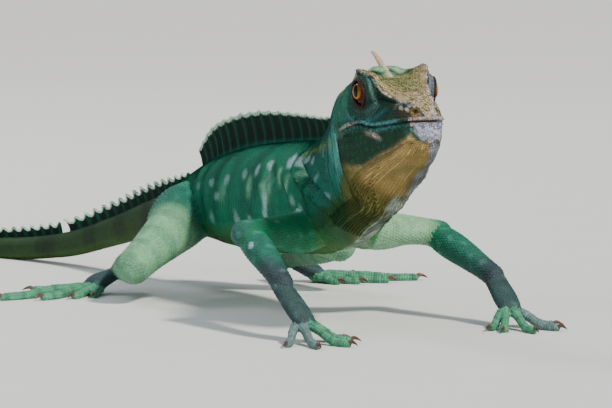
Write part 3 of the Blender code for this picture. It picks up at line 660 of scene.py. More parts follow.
def sculpt(points):
    """Brows, lips, lids, nostril rims, ears and folds worked into the fine net."""
    rows, columns, sides = BUILT["rows"], BUILT["columns"], BUILT["sides"]
    row = np.broadcast_to(rows[:, None], points.shape[:2])
    k = np.broadcast_to(columns[None, :], points.shape[:2])
    side = np.broadcast_to(sides[None, :], points.shape[:2])
    normals = grid_normals(points)
    u, v, w = head_local(points)
    on_head = below(row, 8.0, 1.0)
    # the brows' height, lower on the right side, and the hump of the casque between them
    level = head_axes(1)
    reach = np.where(k < 2.0, above(k, 0.2, 1.8), below(k, 3.6, 1.6))
    reach = reach * band(row, 0.9, 5.6, 1.0)
    drop = np.where(side < 0, 2.2, 1.15) * reach
    pull = np.where(side < 0, 2.5 * ridge(row, 4.7, 1.15), -1.1 * ridge(row, 2.3, 1.1)) * reach
    hump = 2.4 * below(k, 1.75, 1.4) * band(row, 4.25, 5.9, 0.9)
    points = points + level[2] * (hump - drop)[..., None] + level[1] * pull[..., None]
    # a notch under the chin
    lowest = np.where(side > 0, 7.4, 9.4)
    notch = 1.5 * ridge(row, 1.05 - 0.12 * (11 - k), 0.34) * smooth((k - lowest) / 1.2)
    notch = notch - 1.2 * ridge(row, 2.1, 0.6) * above(k, 9.6, 1.0)
    normals = grid_normals(points)
    u, v, w = head_local(points)
    # brow edge, and the hollow under it
    brow = band(row, 0.7, 5.3, 0.9)
    edge = brow_edge(row, side)
    move = 0.6 * ridge(k, edge, 0.2) * brow - 0.5 * ridge(k, edge + 0.7, 0.35) * brow - notch
    # shields of the crown and knobs along the brow
    shield = np.sin(row * 9.0 + 1.2 * np.sin(k * 3.0)) * np.sin(k * 6.5 + 0.8 * np.sin(row * 5.0))
    move += 0.13 * shield * smooth((edge + 0.3 - k) / 0.5) * band(row, -0.6, 4.6, 0.8)
    move += 0.16 * np.sin(row * 15.0) * ridge(k, edge, 0.3) * brow
    # the hollow between the brows
    move = move - 1.1 * below(k, 1.6, 1.3) * band(row, 2.0, 4.3, 0.8)
    # raised shields on the snout
    bumps = np.sin(row * 12.0 + 1.0) * np.sin(k * 5.2 + 0.6)
    move += 0.22 * bumps * below(row, 2.2, 0.8) * below(k, 5.2, 0.8)
    # canthus and the dip before the eye
    move = move - 0.5 * ridge(k, 3.6, 0.7) * band(row, 1.6, 3.1, 0.8)
    # lips on both sides of the mouth line, with a fold of the cheek over them
    gap = w - mouth_height(u)
    mouth = below(u, 34.5, 2.5)
    move += 0.32 * ridge(gap, 0.8, 0.45) * mouth + 0.28 * ridge(gap, -0.8, 0.45) * mouth
    move = move - 0.22 * ridge(gap, 1.65, 0.28) * mouth - 0.2 * ridge(gap, -1.75, 0.3) * mouth
    move = move - 1.0 * ridge(gap, 0.0, 0.22) * mouth * smooth((8.6 - np.abs(k - 7)) / 1.0)
    plates = np.cos(u * 2.75) * (ridge(gap, 0.8, 0.6) + ridge(gap, -0.85, 0.6))
    move += 0.10 * plates * below(u, 28.0, 3.0)
    # uneven shields of the chin
    chin = below(row, 1.1, 0.5) * above(k, 7.6, 0.6)
    move += 0.2 * chin * np.sin(row * 13.0 + 0.8 * np.sin(k * 3.1)) * np.sin(k * 5.4 + side)
    # jowl behind the mouth's corner, and a hollow behind the jaw
    move += 0.7 * ridge(row, 5.6, 0.9) * ridge(k, 8.3, 0.9)
    move = move - 0.8 * ridge(row, 6.9, 0.35) * band(k, 4.6, 9.6, 1.2)
    # nostril rim
    away = np.sqrt((u - NOSTRIL[0]) ** 2 + (np.abs(v) - NOSTRIL[1]) ** 2 + (w - NOSTRIL[2]) ** 2)
    move += 0.5 * ridge(away, 1.4, 0.5) - 0.8 * ridge(away, 0.0, 0.7)
    # ear: a shallow cup with a low rim
    drum = np.sqrt(((u - EAR_CENTRE[0]) / EAR_RADII[0]) ** 2 + ((w - EAR_CENTRE[2]) / EAR_RADII[1]) ** 2)
    drum = np.where(np.abs(v) > 8, drum, 9.0)
    move = move - 1.15 * below(drum, 1.15, 0.35) + 0.3 * ridge(drum, 1.3, 0.16)
    move = move * np.where(row > 7.8, 0.0, 1.0) * on_head
    points = points + normals * move[..., None]
    # lids: pushed out round each eye, with rings of folds
    for one in (1, -1):
        centre = eye_centre(one)
        axes = eye_axes(one)
        away = points - centre
        reach = np.linalg.norm(away, axis=2)
        local = away @ axes.T
        facing = smooth((local[..., 1] + 3.0) / 2.0)
        near = np.maximum(LID_BLEND - np.abs(reach - LID_RADIUS), 0) / LID_BLEND
        out = np.maximum(reach, LID_RADIUS) + near ** 2 * LID_BLEND / 4
        q, turn = opening_place(local)
        folds = lid_folds(q, turn) * above(k, 2.2, 0.35)
        out = out - 0.62 * folds * smooth(local[..., 1] / 1.5)
        change = np.where((reach < LID_RADIUS + 6) & (local[..., 1] > -3.0), out - reach, 0.0) * facing
        points = points + unit(away) * change[..., None]
    # loose skin
    normals = grid_normals(points)
    points = press_lines(points, normals)
    normals = grid_normals(points)
    sag = 0.4 * np.sin(k * 6.0 + row * 1.3) * above(k, 9.2, 0.6) * band(row, 2.4, 8.6, 1.6)
    ribs = 0.22 * np.sin(row * 11.0) * band(k, 3.0, 8.5, 2.0) * band(row, 10.4, 13.6, 1.0)
    inset = SKIN_DEPTH * smooth((points[..., 2] - 0.2) / 1.5)
    points = points + normals * (sag + ribs - inset)[..., None]
    return points


def prepare_net():
    if "grid" in BUILT:
        return
    points, rows, columns, sides = fine_net()
    BUILT.update(rows=rows, columns=columns, sides=sides)
    BUILT["grid"] = on_floor(sculpt(points))


def trunk_mesh():
    """The trunk's skin: columns thin out towards the tail."""
    points, rows = BUILT["grid"], BUILT["rows"]
    verts, faces, starts, strides = [], [], [], []
    for i, row in enumerate(rows):
        stride = 1 if row < COARSE_FROM else (2 if row < COARSER_FROM else 4)
        starts.append(len(verts))
        strides.append(stride)
        verts += list(points[i, ::stride])
    total = points.shape[1]
    for i in range(len(rows) - 1):
        a, b = starts[i], starts[i + 1]
        count = total // strides[i]
        if strides[i] == strides[i + 1]:
            faces += ring_faces(count, a, b)
            continue
        half = count // 2
        for j in range(half):
            f0, f1, f2 = a + 2 * j, a + 2 * j + 1, a + (2 * j + 2) % count
            c0, c1 = b + j, b + (j + 1) % half
            faces += [(f0, f1, c0), (f1, c1, c0), (f1, f2, c1)]
    for start, stride, i in ((starts[0], strides[0], 0), (starts[-1], strides[-1], len(rows) - 1)):
        count = total // stride
        verts.append(points[i].mean(axis=0))
        hub = len(verts) - 1
        faces += [(start + j, start + (j + 1) % count, hub) for j in range(count)]
    return np.array(verts), faces


# Limbs
def tube(points, radii, along, around, flat=1.0):
    """Rings of a round-ended tube along a bent line, with its two ends."""
    fine = spline(points, np.linspace(0, len(points) - 1, 120))
    run = run_along(fine)
    length = run[-1]
    first, last = radii[0], radii[-1]
    caps = [1 - math.cos(math.radians(a)) for a in (12, 25, 40, 58, 74)]
    stops = [first * c for c in caps] + list(np.linspace(first, length - last, along))
    rings = []
    for s in stops + [length - last * c for c in reversed(caps)]:
        centre, ahead, behind = (np.array([np.interp(at, run, fine[:, k]) for k in range(3)])
                                 for at in (s, min(s + 0.4, length), max(s - 0.4, 0)))
        forward = unit(ahead - behind)
        across = unit(np.cross(forward, (0.0, 0.0, 1.0)))
        radius = float(profile(radii, [s / length])[0])
        for into, end in ((first - s, first), (s - length + last, last)):
            if into > 0:
                radius *= math.sqrt(max(1 - (into / end) ** 2, 0.0))
        rings.append(oval(centre, across, np.cross(across, forward), radius, radius * flat, around, 0.5))
    return rings, fine[0], fine[-1]


def claw_rings(root, heading, length, radius):
    root = np.asarray(root, float)
    level = np.array([heading[0], heading[1], 0.0])
    points = [root - level * (length * 0.45)]
    points += [root + level * (length * f) + np.array([0.0, 0.0, rise * radius])
               for f, rise in ((0.0, 0.0), (0.3, 0.75), (0.68, 0.35), (1.0, -0.55))]
    fine = spline(points, np.linspace(0, 4, 20))
    rings = []
    for i, centre in enumerate(fine[:-1]):
        here = radius * (1 - max(i - 4, 0) / (len(fine) - 5)) ** 0.75
        forward = unit(fine[i + 1] - fine[max(i - 1, 0)])
        across = unit(np.cross(forward, (0.0, 0.0, 1.0)))
        rings.append(oval(centre, across, np.cross(across, forward), here * 0.72, here, 14))
    return rings, fine[0] - level * 0.2, fine[-1]


def digit_line(root, angle, length, radius, side):
    """Middle line of a finger or toe from inside the palm to its tip, and its heading."""
    turn = math.radians(angle)
    heading = np.array([math.sin(turn) * side, -math.cos(turn), 0.0])
    rest = radius - PAD_PRESS
    high = root[2]
    fractions = (0.0, 0.28, 0.52, 0.72, 0.88, 1.0)
    heights = (high, high * 0.62 + rest * 0.6, rest + 0.85, rest, rest, rest)
    inward = root - heading * 3.0
    points = [(inward[0], inward[1], high)]
    for f, z in zip(fractions, heights):
        spot = root + heading * (length * f)
        points.append((spot[0], spot[1], z))
    return points, heading


def paw_forms(base, knuckles, side, heading, digits, knuckle_half, claw_length, base_radius):
    """Palm, digits and claws of one hand or foot as rings with their two ends."""
    base, knuckles = np.asarray(base, float), np.asarray(knuckles, float)
    turn = math.radians(heading)
    forward = np.array([math.sin(turn) * side, -math.cos(turn), 0.0])
    across = np.array([math.cos(turn) * side, math.sin(turn), 0.0])
    middle = (base + knuckles) / 2
    palm_radii = (base_radius, base_radius * 1.05, knuckle_half * 1.12, knuckle_half * 0.9)
    palm = tube((base, middle, knuckles, knuckles + forward * 1.5), palm_radii, 24, 36, 0.62)
    fingers, claws, lines = [], [], []
    for angle, length, radius, place in digits:
        root = knuckles + across * (place * knuckle_half) - forward * (abs(place) * 1.2)
        root[2] = max(knuckles[2] - 0.9 * abs(place), radius + 0.3)
        points, way = digit_line(root, heading + angle, length, radius, side)
        radii = tuple(radius * swell for swell in DIGIT_SWELLS)
        fingers.append(tube(points, radii, max(12, int(length * 1.6)), 18))
        tip = np.array(points[-1]) - way * (radius * 0.7) + np.array([0.0, 0.0, 0.25])
        claws.append(claw_rings(tip, way, claw_length, radius * 0.68))
        lines.append((points, radius, way))
    return palm, fingers, claws, lines


def straight(start, end, bow):
    start, end = np.asarray(start, float), np.asarray(end, float)
    return [start + (end - start) * f + np.asarray(bow) * math.sin(math.pi * f)
            for f in (0.0, 0.25, 0.5, 0.75, 1.0)]


def joint_inside(start, joint, radius):
    start, joint = np.asarray(start, float), np.asarray(joint, float)
    return joint - unit(joint - start) * radius


# Each limb's side, its joints from the root to the knuckles or sole, and its hand's or foot's heading
LIMBS = {
    "arm_R": (1, (-11.0, 75.0, 30.0), (-42.0, 66.0, 31.0), (-37.5, 36.0, 16.5), (-34.5, 26.5, 6.0), 4.0),
    "arm_L": (-1, (13.0, 75.0, 30.0), (42.0, 74.0, 27.0), (44.0, 43.0, 14.5), (43.0, 33.0, 6.0), -14.0),
    "leg_R": (1, (-7.0, 173.0, 31.0), (-48.0, 145.0, 10.5), (-31.0, 190.0, 7.4), (-45.0, 184.5, 3.0), -68.0),
    "leg_L": (-1, (4.0, 173.0, 31.0), (42.0, 147.0, 15.0), (34.0, 193.0, 7.6), (47.0, 186.0, 3.0), -60.0),
}


def limb_forms(name):
    """The rings of a limb's segments, palm, digits and claws."""
    side, top, bend, end, tips, heading = LIMBS[name]
    top_in = np.array(top) * (0.25, 1.0, 1.0)
    if name.startswith("arm"):
        upper = tube(straight(top, bend, (0, 0, 0.8)), UPPER_ARM_RADII, 44, 40)
        root = tube((top_in + (0, 3.0, 0.5), np.array(top) * 0.9 + np.array(bend) * 0.1 + (0, 1.5, 0.0),
                     np.array(top) * 0.55 + np.array(bend) * 0.45), (7.6, 7.0, 4.9), 30, 36)
        lower = tube(straight(joint_inside(top, bend, UPPER_ARM_RADII[-1] * 1.4), end, (0, 0, 0.6)),
                     FOREARM_RADII, 44, 36)
        heel = joint_inside(bend, end, FOREARM_RADII[-1] * 1.6)
        rest = paw_forms(heel, tips, side, heading, HAND_DIGITS, HAND_KNUCKLE_HALF, HAND_CLAW, 3.6)
    else:
        upper = tube(straight(top, bend, (0, -2.0, 1.5)), THIGH_RADII, 60, 56, 1.05)
        root = tube((top_in + (0, 3.0, 2.0), np.array(top) * 0.8 + np.array(bend) * 0.2 + (0, 2.5, 2.0),
                     np.array(top) * 0.5 + np.array(bend) * 0.5 + (0, 1.0, 1.0)), (9.0, 10.2, 7.4), 30, 36)
        lower = tube(straight(joint_inside(top, bend, THIGH_RADII[-1] * 1.2), end, (0, 0, 0.5)),
                     SHANK_RADII, 56, 40)
        heel = joint_inside(bend, end, SHANK_RADII[-1] * 1.4)
        rest = paw_forms(heel, tips, side, heading, FOOT_DIGITS, FOOT_KNUCKLE_HALF, FOOT_CLAW, 3.5)
    palm, fingers, claws, lines = rest
    return {"root": root, "upper": upper, "lower": lower, "palm": palm, "fingers": fingers, "claws": claws,
            "lines": lines}


def join_forms(name, forms):
    verts, faces, count = [], [], 0
    for rings, start, end in forms:
        points, quads = loft(rings, start, end)
        verts.append(points)
        faces += [tuple(i + count for i in face) for face in quads]
        count += len(points)
    return make_object(name, np.vstack(verts), faces)


def limb_skin(name):
    """One closed surface over a limb's overlapping forms, evened out where they meet."""
    forms = BUILT["limbs"][name]
    whole = [forms["root"], forms["upper"], forms["lower"], forms["palm"]] + forms["fingers"]
    made = join_forms("limb", whole)
    turn_outward(made)
    change = made.modifiers.new("voxels", "REMESH")
    change.mode = "VOXEL"
    change.voxel_size = LIMB_VOXEL * MM
    apply_modifiers(made)
    edges = mesh_edges(made)
    points = mesh_points(made)
    ones = np.ones(len(points))
    near_root = np.linalg.norm(points - np.array(LIMBS[name][1]), axis=1)
    loose = below(near_root, 34.0, 14.0) * 0.9
    points = relax(points, edges, loose, 40)
    for _ in range(5):
        points = relax(points, edges, ones, 1)
        points = points - (relax(points, edges, ones, 1) - points) * 1.04
    set_points(made, points)
    return made


def prepare_limbs():
    if "limbs" not in BUILT:
        BUILT["limbs"] = {name: limb_forms(name) for name in LIMBS}


def almond(side, count):
    """Outline of the lids' opening: its places along and up, and in space on the eye's middle plane."""
    back, _, up = eye_axes(side)
    turns = 2 * math.pi * np.arange(count) / count
    along = np.sign(np.cos(turns)) * np.abs(np.cos(turns)) ** 1.25 * EYE_OPENING[0]
    high = np.sign(np.sin(turns)) * np.abs(np.sin(turns)) ** 1.1 * EYE_OPENING[1] - OPENING_DROP
    return along, high, eye_centre(side) + np.outer(along, back) + np.outer(high, up)


def almond_cutter(side):
    out, outline = eye_axes(side)[1], almond(side, 72)[2]
    points, faces = loft([outline + out * (EYE_RADIUS * reach) for reach in (0.35, 2.2)])
    return outward_object("almond", points, faces)


def lid_margin(side):
    """The rounded rim of the lids, a closed ring that lies on the eyeball."""
    steps, around = 96, 10
    along, high, middle = almond(side, steps)
    reach = np.sqrt(np.maximum((EYE_RADIUS + 0.62) ** 2 - along ** 2 - high ** 2, 0.2))
    middle = middle + np.outer(reach, eye_axes(side)[1])
    forward = unit(np.roll(middle, -1, axis=0) - np.roll(middle, 1, axis=0))
    outward = unit(middle - eye_centre(side))
    sideways = np.cross(forward, outward)
    verts, faces = [], []
    for j in range(around):
        turn = 2 * math.pi * j / around
        verts.append(middle + outward * (0.42 * math.cos(turn)) + sideways * (0.46 * math.sin(turn)))
        faces += ring_faces(steps, j * steps, (j + 1) % around * steps)
    return outward_object("margin", np.vstack(verts), faces)


def object_tree(thing):
    return BVHTree.FromObject(thing, bpy.context.evaluated_depsgraph_get())


def build_skin(finish):
    prepare_net()
    prepare_limbs()
    skin = outward_object("skin", *trunk_mesh(), finish)
    trunk_tree = object_tree(skin)
    cutters = []
    for side in (1, -1):
        axes = head_axes(side)
        u, v, w = NOSTRIL
        socket = ellipsoid(eye_centre(side), (EYE_RADIUS + 0.2,) * 3, axes)
        hole = ellipsoid(head_point(u + 0.3, side * (v - 0.1), w - 0.1), (0.85, 1.5, 0.6), axes, 24, 16)
        cutters += [outward_object("socket", *socket), almond_cutter(side), outward_object("nostril", *hole)]
    apply_boolean(skin, cutters, "DIFFERENCE")
    limbs = [limb_skin(name) for name in LIMBS]
    limb_trees = [object_tree(limb) for limb in limbs]
    apply_boolean(skin, limbs + [lid_margin(1), lid_margin(-1)], "UNION")
    shape = bmesh.new()
    shape.from_mesh(skin.data)
    bmesh.ops.remove_doubles(shape, verts=shape.verts, dist=0.03 * MM)
    bmesh.ops.triangulate(shape, faces=[f for f in shape.faces if len(f.verts) > 4])
    shape.to_mesh(skin.data)
    shape.free()
    skin.data.shade_smooth()
    blend_roots(skin, trunk_tree, limb_trees)
    set_points(skin, on_floor(mesh_points(skin)))
    BUILT["skin_tree"] = object_tree(skin)
    return skin


def blend_roots(skin, trunk_tree, limb_trees):
    """Softens the line where each limb leaves the trunk."""
    placed = np.empty(len(skin.data.vertices) * 3, np.float32)
    skin.data.vertices.foreach_get("co", placed)
    placed = placed.reshape(-1, 3)
    points = out_of_frame(placed)
    weight = np.zeros(len(points))
    zones = [(np.array(LIMBS[name][1]), 34.0 if name.startswith("leg") else 28.0) for name in LIMBS]
    for (middle, reach), tree in zip(zones, limb_trees):
        for i in np.nonzero(np.linalg.norm(points - middle, axis=1) < reach)[0]:
            spot = Vector(placed[i].tolist())
            far_limb = tree.find_nearest(spot)[3] / MM
            far_trunk = trunk_tree.find_nearest(spot)[3] / MM
            weight[i] = max(weight[i], 1 - max(far_limb, far_trunk) / ROOT_BLEND)
    weight = smooth(np.clip(weight, 0, 1) * 1.3)
    points = relax(points, mesh_edges(skin), weight, 90)
    set_points(skin, points)


# Markings: the colours that skin and scales share, by place on the body
def mix(colour, other, mask):
    """One colour over another through a mask; a word stands for the tone of that name."""
    other = BUILT["tones"][other] if isinstance(other, str) else np.asarray(other)
    mask = np.asarray(mask)[:, None]
    return colour * (1 - mask) + other * mask


def spread(tone, things):
    """The same tone for every one of the things."""
    return np.tile(BUILT["tones"][tone], (len(things), 1))


def place_tree(points):
    tree = KDTree(len(points))
    for n, point in enumerate(points):
        tree.insert(point, n)
    tree.balance()
    return tree


def place_trees():
    """Nearest place on the trunk and nearest limb form for any point."""
    if "trunk_places" in BUILT:
        return
    grid, rows = BUILT["grid"], BUILT["rows"]
    picked = np.array([(i, j) for i, row in enumerate(rows) if row <= 8 or i % 2 == 0
                       for j in range(0, grid.shape[1], 1 if row < 8 else 2)])
    i, j = picked.T
    BUILT["trunk_places"] = (place_tree(grid[i, j].tolist()), rows[i], BUILT["columns"][j],
                             BUILT["sides"][j])
    spots, places = [], []
    for number, name in enumerate(LIMBS):
        forms = BUILT["limbs"][name]
        for part, tubes in enumerate(([forms["upper"]], [forms["lower"]], [forms["palm"]], forms["fingers"])):
            for which, form in enumerate(tubes):
                rings = form[0]
                for i, ring in enumerate(rings):
                    near = ring[::2].tolist()
                    spots += near
                    places += [((number, part), i / (len(rings) - 1), which)] * len(near)
    BUILT["limb_places"] = (place_tree(spots), *(gather(places, n) for n in range(3)))


def waver(points, scale, seed):
    """A cheap smooth wander between -1 and 1 over space."""
    p = points / scale + seed
    a = np.sin(p[:, 0] * 1.7 + 1.3 * np.sin(p[:, 1] * 1.1) + 0.7 * p[:, 2])
    b = np.sin(p[:, 1] * 1.9 + 1.1 * np.sin(p[:, 2] * 1.3 + seed) - 0.6 * p[:, 0])
    c = np.sin(p[:, 2] * 2.1 + 0.9 * np.sin(p[:, 0] * 1.7) + 0.4 * p[:, 1])
    return (a + b + c) / 3


# Where the jowl's green gives way to the throat's gold
THROAT_EDGE_ROWS = (0.0, 0.4, 1.4, 4.3, 5.2, 6.2, 6.9, 7.2, 7.4, 7.8, 8.4)
THROAT_EDGE_PLACES = (8.6, 8.8, 9.3, 9.35, 9.0, 8.3, 7.7, 8.3, 9.4, 10.0, 10.4)
PALE_SPOTS = (
    # row, around, half length, half height and strength
    (8.77, 4.7, 1.0, 1.3, 0.7), (9.15, 4.4, 1.4, 1.4, 0.85), (9.55, 4.1, 2.3, 1.5, 1.0),
    (10.04, 3.75, 2.1, 2.1, 1.0), (10.72, 3.95, 1.3, 1.5, 0.95), (11.04, 4.3, 1.1, 1.7, 0.75),
    (11.4, 4.6, 1.2, 1.3, 0.5), (11.9, 4.8, 1.3, 1.3, 0.45), (12.5, 4.9, 1.3, 1.2, 0.4),
    (13.1, 5.0, 1.2, 1.1, 0.35), (13.8, 5.0, 1.1, 1.0, 0.3),
    (10.72, 6.3, 1.4, 2.2, 0.8), (10.75, 7.9, 0.9, 2.5, 0.75), (11.6, 8.2, 1.3, 1.9, 0.5),
    (9.84, 6.75, 1.2, 1.4, 0.45), (9.56, 7.95, 1.2, 1.4, 0.4), (8.0, 8.7, 1.4, 1.4, 0.5),
    (12.2, 5.9, 1.6, 1.4, 0.45), (12.5, 8.3, 1.2, 1.6, 0.4), (11.25, 8.4, 0.9, 1.7, 0.5),
    (8.35, 6.4, 0.9, 1.6, 0.4), (7.9, 5.2, 0.8, 1.2, 0.35),
)
CREAM_BLOTCHES = (
    (10.68, 5.5, 4.0, 4.6, 0.7), (11.2, 5.4, 2.4, 4.2, 0.5), (10.3, 4.9, 1.7, 3.2, 0.75),
    (10.0, 5.35, 1.7, 3.2, 0.8), (9.5, 4.9, 2.4, 1.7, 0.6), (12.0, 5.6, 2.6, 3.2, 0.35),
)
# Thin marks along lines: tone, places as (row, around), width and strength
LINE_MARKS = (
    ("streak", ((9.6, 3.6), (8.95, 3.85), (8.0, 4.8), (7.3, 5.2)), 1.3, 0.6),
    ("jaw_line", ((5.4, 9.2), (4.2, 9.5), (2.9, 9.5), (1.5, 9.4), (0.8, 9.2)), 0.9, 0.75),
    ("brow", ((5.6, 5.75), (4.9, 5.9), (4.3, 6.02), (3.76, 5.95)), 0.32, 0.7),
    ("brow", ((4.5, 4.75), (4.1, 5.05), (3.71, 5.22), (3.3, 5.1)), 0.2, 0.45),
    ("turquoise", ((3.9, 5.7), (3.29, 6.1), (2.7, 5.7), (2.1, 4.9)), 0.8, 0.5),
    ("turquoise", ((5.6, 5.0), (4.9, 5.3), (4.3, 5.6), (3.6, 6.2)), 1.0, 0.55),
    ("lip_blue", ((3.6, 6.9), (2.8, 7.6), (2.0, 7.5), (1.2, 7.3)), 0.55, 0.7),
    ("brow", ((3.4, 8.3), (3.0, 8.45), (2.6, 8.7)), 0.75, 0.9),
    ("temple", ((4.9, 3.0), (5.2, 3.6), (5.6, 4.2)), 1.4, 0.7),
)


def beside(points, spots, reach):
    """Points within reach of a line of spots, how far off they lie, and how far from its ends."""
    low, high = spots.min(axis=0) - reach, spots.max(axis=0) + reach
    near = np.nonzero(((points > low) & (points < high)).all(axis=1))[0]
    gaps = np.linalg.norm(points[near][:, None, :] - spots[None], axis=2)
    share = gaps.argmin(axis=1) / (len(spots) - 1)
    return near, gaps.min(axis=1), np.sin(np.pi * np.clip(share, 0.06, 0.94))


def line_spots(path, side, grid=None):
    """Points of the fine net along a line of (row, around) places."""
    path = np.array(path, float)
    count = (14 if grid is None else 16) * len(path)
    dense = spline(path, np.linspace(0, len(path) - 1, count))
    return grid_sample(dense[:, 0], dense[:, 1], side, grid)


def near_line(points, spots, width):
    """1 on a line and fading to 0 beside it, weaker at its ends."""
    strength = np.zeros(len(points))
    near, gap, ends = beside(points, spots, 3 * width)
    strength[near] = np.exp(-(gap / width) ** 2) * ends ** 0.4
    return strength


def body_marks(colour, points):
    """Pale spots, cream blotches and thin lines, on both sides."""
    edge = waver(points, 1.1, 7.0)
    streaks = waver(points * (1.0, 2.2, 0.5), 1.5, 4.0)
    places = BUILT["rows"], BUILT["columns"], BUILT["sides"]
    for marks, tone in ((CREAM_BLOTCHES, "cream"), (PALE_SPOTS, "spot")):
        for r0, k0, wide, tall, strength in marks:
            across = 1.5 * tall if tone == "spot" else 6.0
            wide = wide * (1.25 if tone == "spot" else 1.0)
            for side in (1, -1):
                away = points - BUILT["grid"][nearest_cell(*places, r0, k0, side)]
                gap = np.sqrt((away[:, 1] / wide) ** 2 + (away[:, 2] / tall) ** 2
                              + (away[:, 0] / across) ** 2)
                if tone == "spot":
                    mask = smooth((1.15 + edge * 0.3 - gap) / 0.85 + 0.5)
                else:
                    mask = smooth((0.9 + edge * 0.3 - gap) / 1.1 + 0.5) * (0.95 + 0.5 * streaks)
                colour = mix(colour, tone, np.clip(mask * strength, 0, 1))
    return colour


def line_marks(colour, points):
    edge = waver(points, 0.9, 2.0)
    for tone, path, width, strength in LINE_MARKS:
        for side in (1, -1):
            mask = near_line(points, line_spots(path, side), width) * strength
            colour = mix(colour, tone, np.clip(mask * (1 + 0.5 * edge), 0, 1))
    return colour


def eye_marks(colour, points, k):
    """Dark lids with brown rims; painted shade in the lids' folds and painted highlight on the folds' edges;
    the left lids paler lavender, painted light.
    """
    lid = above(k, 2.25, 0.25)
    for side in (1, -1):
        away = (points - eye_centre(side)) @ eye_axes(side).T
        q, turn = opening_place(away)
        near = (away[:, 1] > 0.5) & (np.linalg.norm(away, axis=1) < 11)
        # painted light: the left lids, on the side the key light falls on, paler lavender
        base = "lid" if side < 0 else BUILT["tones"]["lavender"] * 0.7
        colour = mix(colour, base, np.where(near, below(q, 2.0, 0.5) * 0.8, 0) * lid)
        # painted highlight on the edges of the lids' folds, then painted shade in the folds
        colour = mix(colour, "lid_pale", np.where(near, lid_folds(q - 0.12, turn) * 0.75, 0) * lid)
        colour = mix(colour, "mouth", np.where(near, np.clip(lid_folds(q, turn), 0, 1) * 0.8, 0) * lid)
        colour = mix(colour, "lid_rim", np.where(near, below(q, 1.2, 0.12), 0))
    return colour


